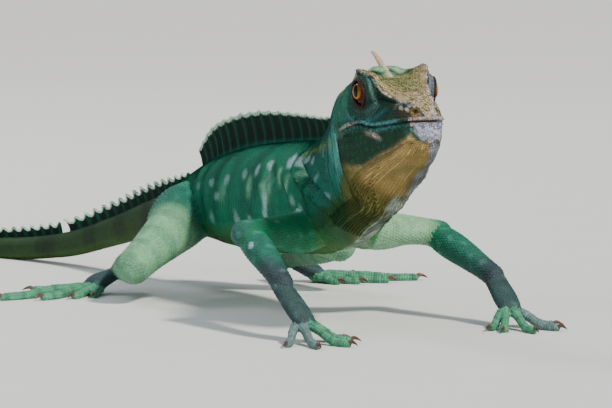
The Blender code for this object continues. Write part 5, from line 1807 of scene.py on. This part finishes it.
def eye_material(name):
    """Iris with radial threads round a black pupil, in a dark eyeball with a wet coat."""
    made, tree = new_material(name)
    threads = noise(tree, Scale=2200.0, Detail=5.0, Roughness=0.7)
    strength = math_node(tree, "MULTIPLY_ADD", threads, 1.1, 0.45)
    iris = brighten(tree, stored(tree, "hide")["Color"], strength)
    pupil = math_node(tree, "LESS_THAN", stored(tree, "off_axis")["Fac"], 0.0)
    colour = mix_colour(tree, "MIX", pupil, iris, (0.002, 0.002, 0.002, 1))
    set_shader(tree, Base_Color=colour, Roughness=0.14, Specular_IOR_Level=0.1, Coat_Weight=0.08,
               Coat_Roughness=0.03, IOR=1.38)
    return made


def horn_material(name):
    """Claw horn, mottled and uneven; its root and tip are in the stored markings."""
    made, tree = new_material(name)
    mottle = node(tree, "Group", node_tree=mottle_group(), Clouds=0.3, Specks=0.35,
                  Color=stored(tree, "hide")["Color"]).outputs
    relief = node(tree, "Bump", Strength=0.25, Distance=0.00008, Height=mottle["Cloud"])
    set_shader(tree, Base_Color=mottle["Color"], Normal=relief.outputs["Normal"],
               Roughness=math_node(tree, "MULTIPLY_ADD", mottle["Cloud"], 0.2, 0.22))
    return made


def plain_material(name, colour, rough, grain):
    made, tree = new_material(name)
    tinted = mix_colour(tree, "MIX", noise(tree, Scale=grain, Detail=3.0), (*colour, 1),
                        (*[c * 0.96 for c in colour], 1))
    set_shader(tree, Base_Color=tinted, Roughness=rough)
    return made


# Settings
def colour_setting(key, description, value):
    return bpy.props.FloatVectorProperty(name=key.replace("_", " ").capitalize(), description=description,
                                         default=value, size=3, min=0.0, max=1.0, subtype="COLOR")


def size_setting(name, description, default, low, high):
    return bpy.props.FloatProperty(name=name, description=description + " in millimetres", default=default,
                                   min=low, max=high)


TONES = {
    "body": ("Green of the flanks", (0.001, 0.27, 0.15)),
    "body_dark": ("Dark clouds and bars over the flanks", (0.001, 0.12, 0.08)),
    "back": ("Green beside the sail", (0.004, 0.27, 0.18)),
    "belly": ("Olive green low on the flank", (0.03, 0.21, 0.055)),
    "pale_belly": ("Pale green of the belly", (0.14, 0.32, 0.06)),
    "spot": ("Pale blue spots", (0.6, 0.9, 0.94)),
    "cream": ("Cream green blotches", (0.38, 0.88, 0.58)),
    "streak": ("Yellowish streak by the sail", (0.5, 0.66, 0.26)),
    "tail": ("Olive of the tail", (0.028, 0.085, 0.022)),
    "tail_dark": ("Dark rings of the tail", (0.008, 0.032, 0.012)),
    "neck": ("Green of the neck", (0.006, 0.25, 0.19)),
    "neck_ring": ("Light blue scale rows", (0.22, 0.56, 0.56)),
    "throat_green": ("Green beside the throat", (0.035, 0.12, 0.02)),
    "face": ("Green of the face", (0.014, 0.11, 0.08)),
    "face_dark": ("Dark green before the eye", (0.004, 0.034, 0.022)),
    "turquoise": ("Turquoise below the eye", (0.04, 0.26, 0.3)),
    # painted light: the lit left side of the snout and lids paler lavender
    "lavender": ("Lavender of the snout's left side", (0.3, 0.36, 0.46)),
    "temple": ("Green behind the eye", (0.03, 0.29, 0.17)),
    "casque": ("Green behind the crown", (0.48, 0.78, 0.5)),
    "crown": ("Tan of the crown", (0.6, 0.49, 0.26)),
    "crown_dark": ("Darker grains of the crown", (0.13, 0.11, 0.035)),
    "crown_green": ("Green hollow of the crown", (0.34, 0.42, 0.16)),
    "brow": ("Pinkish white brow edges", (0.92, 0.74, 0.68)),
    "snout": ("Brown of the snout", (0.055, 0.045, 0.016)),
    "lip": ("Pinkish white lips", (0.8, 0.58, 0.56)),
    "lip_blue": ("Blue green lips", (0.13, 0.4, 0.42)),
    "jowl": ("Dark green jowl", (0.012, 0.062, 0.03)),
    "jaw_line": ("Tan line between jowl and throat", (0.6, 0.42, 0.18)),
    "chin": ("Lavender white chin", (0.42, 0.48, 0.66)),
    "throat": ("Golden tan throat", (0.9, 0.6, 0.235)),
    "throat_dark": ("Olive of the lower throat", (0.2, 0.2, 0.04)),
    "bib": ("Whitish lavender under the throat", (0.72, 0.84, 0.74)),
    "lid": ("Dark lids", (0.008, 0.05, 0.036)),
    # painted highlight on the edges of the lids' folds
    "lid_pale": ("Light edges of the lids' folds", (0.18, 0.4, 0.36)),
    "lid_rim": ("Dark brown rims of the lids", (0.03, 0.01, 0.005)),
    "nostril_rim": ("Yellowish rim", (0.42, 0.3, 0.1)),
    "nostril": ("Brown nostril", (0.05, 0.02, 0.008)),
    # the mouth line's dark is its own; in the lids' folds and the skin folds it is painted shade
    "mouth": ("Dark line of the mouth and in folds", (0.004, 0.01, 0.008)),
    "ear": ("Skin of the ear drum", (0.1, 0.14, 0.06)),
    "arm": ("Green of the upper arm", (0.006, 0.22, 0.1)),
    "forearm": ("Teal of the forearm", (0.015, 0.18, 0.12)),
    "slate": ("Slate blue grey hand", (0.04, 0.07, 0.085)),
    "slate_pale": ("Lavender grey fingers", (0.2, 0.2, 0.28)),
    "digit": ("Mint of the fingers", (0.09, 0.36, 0.2)),
    "digit_dark": ("Dark bands of the fingers", (0.05, 0.22, 0.14)),
    # painted light on the left shoulder
    "shoulder": ("Pale mint left shoulder", (0.42, 0.72, 0.44)),
    # painted light: the colour of the thigh's lit top
    "thigh": ("Pale mint thigh", (0.22, 0.5, 0.28)),
    "groin": ("Teal groin", (0.01, 0.15, 0.11)),
    # painted shade: the face of the sail and tail crest near black
    "membrane": ("Near black green membrane", (0.001, 0.012, 0.008)),
    "ray": ("Green rays of the sail", (0.006, 0.1, 0.062)),
    # painted highlight along the tops of the sail and crests
    "edge": ("Mint white edge of the sail", (0.7, 0.9, 0.74)),
    "spike": ("Pinkish tan front crest", (0.74, 0.48, 0.34)),
    "claw": ("Horn at the claw's root", (0.12, 0.075, 0.05)),
    "claw_tip": ("Red brown claw tip", (0.07, 0.018, 0.008)),
    "iris": ("Golden iris", (0.58, 0.25, 0.012)),
    "iris_rim": ("Brown rim of the iris", (0.11, 0.028, 0.006)),
    "eyeball": ("Dark red brown of the eyeball", (0.045, 0.01, 0.004)),
}


class BasiliskColours(bpy.types.PropertyGroup):
    """Colours of the animal"""
    __annotations__ = {key: colour_setting(key, *value) for key, value in TONES.items()}


class BasiliskSizes(bpy.types.PropertyGroup):
    """Sizes of scales and eyes"""
    flank_scale: size_setting("Flank scale", "Length of a flank scale", 1.25, 0.6, 3.0)
    head_scale: size_setting("Head scale", "Width of a crown grain", 0.78, 0.5, 2.0)
    limb_scale: size_setting("Limb scale", "Width of a limb scale", 1.05, 0.6, 3.0)
    tail_scale: size_setting("Tail scale", "Length of a tail scale", 1.7, 0.8, 4.0)
    scale_lift: size_setting("Scale height", "Height of a flank scale", 0.34, 0.05, 0.6)
    pupil: size_setting("Pupil", "Radius of the pupil", 1.5, 0.4, 2.5)
    iris: size_setting("Iris", "Radius of the iris", 2.6, 1.5, 4.5)


def sizes():
    return bpy.context.scene.basilisk_sizes


def read_tones():
    group = bpy.context.scene.basilisk_colours
    BUILT["tones"] = {key: np.array(getattr(group, key)[:], float) for key in TONES}
    return BUILT["tones"]


def needed(key, what):
    if key not in BUILT:
        raise RuntimeError("%s has to be built first" % what)


# Operators
class BASILISK_OT_skin(bpy.types.Operator):
    """Builds the one skin over head, body, limbs and tail"""
    bl_idname = "basilisk.skin"
    bl_label = "Skin"

    def execute(self, context):
        read_tones()
        finish = hide_material("hide_skin", 1500.0, 0.55, 0.5, painted_rim_shade=0.0, crease=0.55)
        skin = build_skin(finish)
        paint(skin, markings(mesh_points(skin)))
        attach(skin, "root")
        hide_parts(*FLESH)
        return {"FINISHED"}


class BASILISK_OT_head_scales(bpy.types.Operator):
    """Sets the scales of crown, brows, face, lips and throat"""
    bl_idname = "basilisk.head_scales"
    bl_label = "Head scales"

    def execute(self, context):
        needed("skin_tree", "The skin")
        size = sizes().head_scale
        crown_finish = hide_material("hide_crown", 2600.0, 0.35, 0.6, painted_rim_shade=0.85)
        face_finish = hide_material("hide_face", 2600.0, 0.3, 0.42, painted_rim_shade=0.7)
        throat_finish = hide_material("hide_throat", 2600.0, 0.2, 0.5, painted_rim_shade=1.0, specks=0.1)

        def over_brow(item):
            return item[5] - brow_edge(item[4], item[6])

        def add(name, found, template, height, finish, *values, **more):
            scale_piece("scales_" + name, found, template, height, finish, "head_skin", *values, **more)

        found = trunk_scales(-0.3, 4.6, 0.0, 3.2, size, size * 1.05, 0.5, 0.22, 11)
        add("crown", [one for one in found if over_brow(one) < -0.2], DOME, 0.3, crown_finish, 11, 0.3)
        found = trunk_scales(0.9, 5.0, 1.7, 3.5, 1.1, 0.8, 0.0, 0.05, 12, 1.2)
        add("brow", [one for one in found if abs(over_brow(one)) < 0.22], DOME, 0.34, crown_finish, 12, 0.08)
        found = trunk_scales(-0.5, 7.4, 2.2, 7.0, size * 1.12, size * 1.1, 0.5, 0.10, 13)
        found = [one for one in found if lip_gap(one[0]) > 1.6 and (one[4] > 4.9 or over_brow(one) > 0.2)]
        add("face", found, DOME, 0.17, face_finish, 13, 0.14, eye_clear=1.16)
        found = lip_scales(0.95, 1.15) + lip_scales(-0.95, 1.15) + lip_scales(-2.0, 0.95)
        add("lips", found, PLATE, 0.2, face_finish, 14, 0.1, spaced=True)
        found = trunk_scales(-0.3, 7.2, 6.2, 9.45, size * 1.15, size * 1.1, 0.5, 0.08, 16)
        found += trunk_scales(-0.3, 0.95, 9.6, 11.0, size * 1.15, size * 1.1, 0.5, 0.08, 18)
        found = [one for one in found if lip_gap(one[0]) < -2.4]
        found += trunk_scales(4.6, 7.2, 0.0, 2.2, size * 1.1, size * 1.1, 0.5, 0.1, 17)
        add("jowl", found, DOME, 0.17, face_finish, 16, 0.16)
        add("throat", pleat_beads(0.95, 8.4, 9.45, 1.15, 1.0), BEAD, 0.5, throat_finish, 19, 0.04, 1.5)
        return {"FINISHED"}


class BASILISK_OT_body_scales(bpy.types.Operator):
    """Sets the scales of neck, flanks, belly and tail"""
    bl_idname = "basilisk.body_scales"
    bl_label = "Body scales"

    def execute(self, context):
        needed("skin_tree", "The skin")
        size, high, long = sizes().flank_scale, sizes().scale_lift, sizes().tail_scale
        finish = hide_material("hide_body", 2200.0, 0.3, 0.42, painted_rim_shade=0.95)
        found = trunk_scales(7.2, 9.3, 0.3, 9.6, 0.72, 0.95, 0.5, 0.03, 21, 1.15)
        scale_piece("scales_neck", found, DOME, 0.24, finish, "body_skin", 21, 0.2, 1.12)
        found = trunk_scales(9.3, 15.0, 0.25, 8.6, size, size * 0.9, 0.5, 0.03, 22, 1.2)
        scale_piece("scales_flank", found, KEEL, high, finish, "body_skin", 22, 0.2, 1.12)
        found = trunk_scales(9.3, 15.0, 8.6, 11.0, size * 1.15, size * 1.15, 0.5, 0.02, 23, 1.15)
        found += trunk_scales(8.4, 9.3, 9.6, 11.0, size, size, 0.5, 0.02, 25, 1.15)
        scale_piece("scales_belly", found, DOME, 0.14, finish, "body_skin", 23)
        found = trunk_scales(15.0, 26.95, 0.2, 11.0, lambda r: long * max(1.25 - 0.05 * (r - 15), 0.7),
                             lambda r, k: np.full(len(k), max(1.35 - 0.085 * (r - 15), 0.42)), 0.5, 0.02, 24,
                             1.2)
        scale_piece("scales_tail", found, KEEL, 0.26, finish, "tail_skin", 24, 0.10)
        return {"FINISHED"}


class BASILISK_OT_limb_scales(bpy.types.Operator):
    """Sets the scales of arms, legs, hands and feet"""
    bl_idname = "basilisk.limb_scales"
    bl_label = "Limb scales"

    def execute(self, context):
        needed("skin_tree", "The skin")
        finish = hide_material("hide_limb", 2400.0, 0.3, 0.42, painted_rim_shade=0.8)
        toes = hide_material("hide_digits", 2600.0, 0.3, 0.38, painted_rim_shade=0.7)
        for name, forms in BUILT["limbs"].items():
            big = sizes().limb_scale * (1.2 if name.startswith("leg") else 1.0)
            found = tube_scales(forms["upper"], 0.0, 0.98, big, big)
            found += tube_scales(forms["lower"], 0.04, 0.99, big * 0.95, big * 0.95)
            found += tube_scales(forms["palm"], 0.1, 0.97, 0.95, 0.95)
            scale_piece("scales_" + name, found, KEEL, 0.3, finish, "body_skin", 31, 0.12, spaced=True)
            found = []
            for finger in forms["fingers"]:
                found += tube_scales(finger, 0.16, 0.96, 0.95, 1.15, 0.0, 1.08)
            scale_piece("digits_" + name, found, PLATE, 0.2, toes, "digits", 32, 0.08, spaced=True)
        return {"FINISHED"}


class BASILISK_OT_eyes(bpy.types.Operator):
    """Builds both eyes"""
    bl_idname = "basilisk.eyes"
    bl_label = "Eyes"

    def execute(self, context):
        tones = read_tones()
        pupil, iris = sizes().pupil, sizes().iris
        for side, name in ((1, "eye_L"), (-1, "eye_R")):
            back, out, up = eye_axes(side)
            gaze = unit(out + back * (-0.02 if side > 0 else -0.10) + up * 0.03)
            first = unit(np.cross(gaze, up))
            turned = np.array([first, np.cross(gaze, first), gaze])
            points, faces = ellipsoid(eye_centre(side), (EYE_RADIUS,) * 3, turned, 96, 96)
            away = points - eye_centre(side)
            along = away @ gaze
            off = np.where(along > 0, lengths(away - np.outer(along, gaze)), EYE_RADIUS * 2)
            points = points + unit(away) * (0.45 * smooth((iris + 0.5 - off) / 1.2))[:, None]
            turn = np.arctan2(away @ turned[1], away @ turned[0])
            slit = pupil * (1 - 0.2 * np.cos(2 * turn))
            threads = 0.85 + 0.22 * np.sin(turn * 23 + 2 * np.sin(turn * 7)) * smooth((off - slit) / 0.8)
            gold = mix(tones["iris"] * threads[:, None], "iris_rim", smooth((off - iris * 0.76) / 0.4) * 0.85)
            # painted shadow of the upper lid: the right iris darker towards its top and front
            shade = smooth(0.3 + 0.5 * (away @ up - away @ back) / iris) * (0.85 if side < 0 else 0.0)
            colour = mix(spread("eyeball", points), mix(gold, "iris_rim", shade), smooth((iris - off) / 0.35))
            colour = mix(colour, (0.002, 0.002, 0.002), smooth((slit - off) / 0.16 + 0.5))
            eye = outward_object("eyeball" + name[-2:], points, faces, eye_material("eye_wet" + name[-2:]))
            paint(eye, np.clip(colour, 0, 1))
            level = eye.data.attributes.new("off_axis", "FLOAT", "POINT")
            level.data.foreach_set("value", (off - slit + 0.05).astype(np.float32))
            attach(eye, "root")
            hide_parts(name)
        return {"FINISHED"}


class BASILISK_OT_claws(bpy.types.Operator):
    """Builds the claws of all four feet"""
    bl_idname = "basilisk.claws"
    bl_label = "Claws"

    def execute(self, context):
        read_tones()
        prepare_limbs()
        horn = horn_material("claw_horn")
        for name in LIMBS:
            forms = BUILT["limbs"][name]["claws"]
            claws = join_forms("claws_" + name, forms)
            claws.data.materials.append(horn)
            turn_outward(claws)
            points = on_floor(mesh_points(claws))
            set_points(claws, points)
            per = len(points) // len(forms)
            share = [lengths(points[n * per:(n + 1) * per] - start) / np.linalg.norm(end - start)
                     for n, (_, start, end) in enumerate(forms)]
            share = np.clip(np.concatenate(share), 0, 1)
            paint(claws, mix(spread("claw", points), "claw_tip", above(share, 0.35, 0.5)))
            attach(claws, "root")
        return {"FINISHED"}


class BASILISK_OT_crests(bpy.types.Operator):
    """Builds the two head crests with their grains"""
    bl_idname = "basilisk.crests"
    bl_label = "Head crests"

    def execute(self, context):
        read_tones()
        finish = hide_material("hide_crest", 2000.0, 0.5, 0.5, painted_rim_shade=0.35)
        rings, foot, tip = spike_rings()
        piece = outward_object("crest_front", *loft(rings, foot, tip), finish)
        paint(piece, spike_tone(mesh_points(piece), foot, tip))
        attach(piece, "root")
        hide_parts("head_crest_front")
        found = ring_grains(rings, 0.62)
        free_scales("scales_crest_front", found, (0.36, 0.34, 0.17), DOME, finish,
                    spike_tone(gather(found, 0), foot, tip))
        form, shares = rayed_columns(REAR_CREST_ROWS, REAR_CREST_RAYS, REAR_CREST_HEIGHTS, 24.0, 0.04,
                                     REAR_CREST_LEAN, 16, 16, 0.6, 0.34)
        colour = crest_colours(form[0], shares, "casque", "temple", 0.9, "crown_green")
        piece = vane("crest_rear", form, finish, colour)
        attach(piece, "root")
        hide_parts("head_crest_rear")
        found = vane_scales(form, 0.02, 0.98, 0.08, 0.97, 0.85, 0.8)
        # painted highlight along the crest's top
        tone = mix(spread("casque", found), "edge", smooth((gather(found, 4) - 0.86) / 0.1) * 0.7)
        free_scales("scales_crest_rear", found, (0.46, 0.44, 0.13), LOW, finish, tone)
        return {"FINISHED"}


class BASILISK_OT_sail(bpy.types.Operator):
    """Builds the sail and the tail crest with rays, small scales and beaded edges"""
    bl_idname = "basilisk.sail"
    bl_label = "Sail and tail crest"

    def execute(self, context):
        read_tones()
        finish = hide_material("hide_sail", 2000.0, 0.45, 0.62, painted_rim_shade=0.35, clouds=0.4, shine=0.1)
        form, shares = rayed_columns(SAIL_ROWS, SAIL_RAYS, SAIL_HEIGHTS, SAIL_RAKE, 0.06)
        add_vane("sail", "dorsal_sail", form, shares, finish, 1.05)
        for i, crest in enumerate(zip(TAIL_CREST_ROWS, TAIL_CREST_RAYS, TAIL_CREST_HEIGHTS)):
            form, shares = rayed_columns(*crest, 38.0, 0.42, 0.0, 12, 10, 0.62, 0.26)
            add_vane("tail_fin_%d" % (i + 1), "tail_crest_%d" % (i + 1), form, shares, finish, 1.2)
        return {"FINISHED"}


class BASILISK_OT_stage(bpy.types.Operator):
    """Sets the pale floor, the soft studio lights and the camera"""
    bl_idname = "basilisk.stage"
    bl_label = "Floor, lights and camera"

    def execute(self, context):
        pale = plain_material("floor_pale", (0.72, 0.72, 0.70), 0.75, 40.0)
        half = 40.0
        points = out_of_frame([(-half, -half, 0), (half, -half, 0), (half, half, 0), (-half, half, 0)])
        floor = make_object("floor", points, [(0, 1, 2, 3)], pale)
        world = bpy.data.worlds.new("studio")
        world.use_nodes = True
        world.node_tree.nodes["Background"].inputs["Color"].default_value = (0.80, 0.86, 0.92, 1)
        world.node_tree.nodes["Background"].inputs["Strength"].default_value = 0.5
        context.scene.world = world
        aim = into_frame((-10.0, 70.0, 50.0))
        add_light("key", "SUN", aim, (0.30, -1.0, 1.0), math.radians(7), 4.6, (1.0, 0.95, 0.87))
        add_light("fill", "AREA", aim, (-1.15, -0.55, 0.75), 0.5, 5.0, (0.80, 0.92, 1.0))
        add_light("rim", "AREA", aim, (-0.35, 0.95, 0.85), 0.5, 6.0, (0.92, 1.0, 1.0))
        add_camera()
        return {"FINISHED"}


def spike_rings():
    """Rings of the finger-like front crest from its foot in the crown to its rounded tip."""
    tip = head_point(*FRONT_CREST_TIP)
    foot, up, side, back = net_frame(FRONT_CREST_ROW)
    foot = foot - up * CREST_SINK
    rings = []
    for g in np.linspace(0, 1, 40) ** 0.9:
        centre = foot + (tip - foot) * g + up * (0.7 * math.sin(math.pi * g))
        rounding = math.sqrt(max(1 - max((g - 0.93) / 0.07, 0) ** 2, 0.04))
        deep = (1.5 * (1 - g) ** 1.5 + 0.74) * rounding
        thick = (0.5 * (1 - g) + 0.56) * rounding
        rings.append(oval(centre, back, side, deep, thick, 24))
    return rings, foot, tip


def ring_grains(rings, pitch):
    """Grain places all over a stack of rings."""
    found, number, at = [], 0, 0.0
    middles = np.array([ring.mean(axis=0) for ring in rings])
    run = run_along(middles)
    while at < run[-1]:
        i = step_at(run, at)[0]
        ring = rings[i]
        count = max(5, int(lengths(np.roll(ring, -1, axis=0) - ring).sum() / pitch))
        for j in range(count):
            turn = (j + 0.5 * (number % 2)) / count * len(ring)
            a, f = int(turn) % len(ring), turn % 1.0
            spot = ring[a] * (1 - f) + ring[(a + 1) % len(ring)] * f
            found.append((spot, rings[i + 1][a] - ring[a], spot - middles[i], at / run[-1], j / count, 0))
        at += pitch
        number += 1
    return found


def spike_tone(points, foot, tip):
    """Pinkish tan, green towards the foot and down the back edge."""
    way = tip - foot
    share = ((points - foot) @ way) / np.dot(way, way)
    behind = (points - foot - np.outer(share, way)) @ net_frame(FRONT_CREST_ROW)[3]
    green = np.clip(below(share, 0.62, 0.3) * smooth(behind * 0.8 + 0.95), 0, 1)
    return mix(spread("spike", points), "casque", green * 0.9)


def add_vane(name, cad_node, form, shares, finish, size):
    """A vane with its small scales and its beaded edge."""
    points, _, sides = form
    # painted shade: the membrane near black; painted highlight: the mint white top edge
    piece = vane(name, form, finish, crest_colours(points, shares, "membrane", "ray", 0.87, "back"))
    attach(piece, "root")
    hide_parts(cad_node)
    found = vane_scales(form, 0.01, 0.99, 0.04, 0.95, size, size)
    at, up = gather(found, 3), gather(found, 4)
    share = shares[np.minimum((at * len(points)).astype(int), len(points) - 1)]
    # scale tones: painted shade of the near-black membrane, paler rays, and a painted highlight at the top
    tone = mix(spread("membrane", found) * 1.5, "ray",
               np.exp(-(share / 0.2) ** 2) * (0.5 + 0.5 * above(at, 0.6, 0.2)))
    tone = mix(tone, "body_dark", below(up, 0.2, 0.18) * 0.8)
    tone = mix(tone, "edge", above(up, 0.86, 0.05))
    free_scales("scales_" + name, found, (size * 0.58, size * 0.52, 0.12), LOW, finish, tone)
    beads, tops = [], points[:, -1]
    run = run_along(tops)
    for s in np.arange(0.3, run[-1], 0.8):
        i, f = step_at(run, s)
        spot = tops[i] * (1 - f) + tops[i + 1] * f
        rise = unit(tops[i] - points[i, -2])
        for turn in (-1, 0, 1):
            out = unit(rise * (1 - 0.4 * abs(turn)) + sides[i, -1] * turn)
            beads.append((spot - rise * 0.3 + out * 0.22, tops[i + 1] - tops[i], out, i / len(tops),
                          s / run[-1], turn))
    # the beaded edge, mint white: painted highlight
    free_scales("edge_" + name, beads, (0.54, 0.46, 0.42), DOME, finish, spread("edge", beads))


def stand(name, data, place, way):
    """Sets up a light or the camera at a place, looking one way."""
    made = bpy.data.objects.new(name, data)
    made.location = place
    made.rotation_euler = way.to_track_quat("-Z", "Y").to_euler()
    bpy.context.scene.collection.objects.link(made)
    return made


def add_light(name, kind, aim, way, size, power, colour):
    light = bpy.data.lights.new(name, kind)
    if kind == "SUN":
        light.angle = size
    else:
        light.shape = "DISK"
        light.size = size
    light.energy = power
    light.color = colour
    place = Vector((aim + np.array(way) * 1.15).tolist())
    made = stand(name, light, place, Vector(aim.tolist()) - place)


def add_camera():
    camera = bpy.data.cameras.new("camera")
    camera.lens = CAMERA_LENS
    camera.sensor_width = 36.0
    camera.clip_start = 0.01
    camera.clip_end = 50.0
    a, e = math.radians(CAMERA_AZIMUTH), math.radians(CAMERA_DROP)
    back = Vector((math.sin(a) * math.cos(e), -math.cos(a) * math.cos(e), math.sin(e)))
    place = Vector(into_frame(CAMERA_PLACE).tolist())
    bpy.context.scene.camera = stand("camera", camera, place, -back)


class BASILISK_PT_panel(bpy.types.Panel):
    """Lists the pieces of the animal"""
    bl_label = "Basilisk"
    bl_idname = "BASILISK_PT_panel"
    bl_space_type = "VIEW_3D"
    bl_region_type = "UI"
    bl_category = "Basilisk"

    def draw(self, context):
        for group in (context.scene.basilisk_sizes, context.scene.basilisk_colours):
            for key in group.bl_rna.properties.keys():
                if key not in ("rna_type", "name"):
                    self.layout.prop(group, key)
        for step in STEPS:
            self.layout.operator(step.bl_idname)


STEPS = (BASILISK_OT_skin, BASILISK_OT_head_scales, BASILISK_OT_body_scales, BASILISK_OT_limb_scales,
         BASILISK_OT_eyes, BASILISK_OT_claws, BASILISK_OT_crests, BASILISK_OT_sail, BASILISK_OT_stage)
CLASSES = (BasiliskColours, BasiliskSizes, *STEPS, BASILISK_PT_panel)


def register():
    for one in CLASSES:
        bpy.utils.register_class(one)
    bpy.types.Scene.basilisk_colours = bpy.props.PointerProperty(type=BasiliskColours)
    bpy.types.Scene.basilisk_sizes = bpy.props.PointerProperty(type=BasiliskSizes)


def unregister():
    del bpy.types.Scene.basilisk_sizes
    del bpy.types.Scene.basilisk_colours
    for one in reversed(CLASSES):
        bpy.utils.unregister_class(one)


def main():
    register()
    bpy.ops.basilisk.skin()
    bpy.ops.basilisk.head_scales()
    bpy.ops.basilisk.body_scales()
    bpy.ops.basilisk.limb_scales()
    bpy.ops.basilisk.eyes()
    bpy.ops.basilisk.claws()
    bpy.ops.basilisk.crests()
    bpy.ops.basilisk.sail()
    bpy.ops.basilisk.stage()


if __name__ == "__main__":
    main()
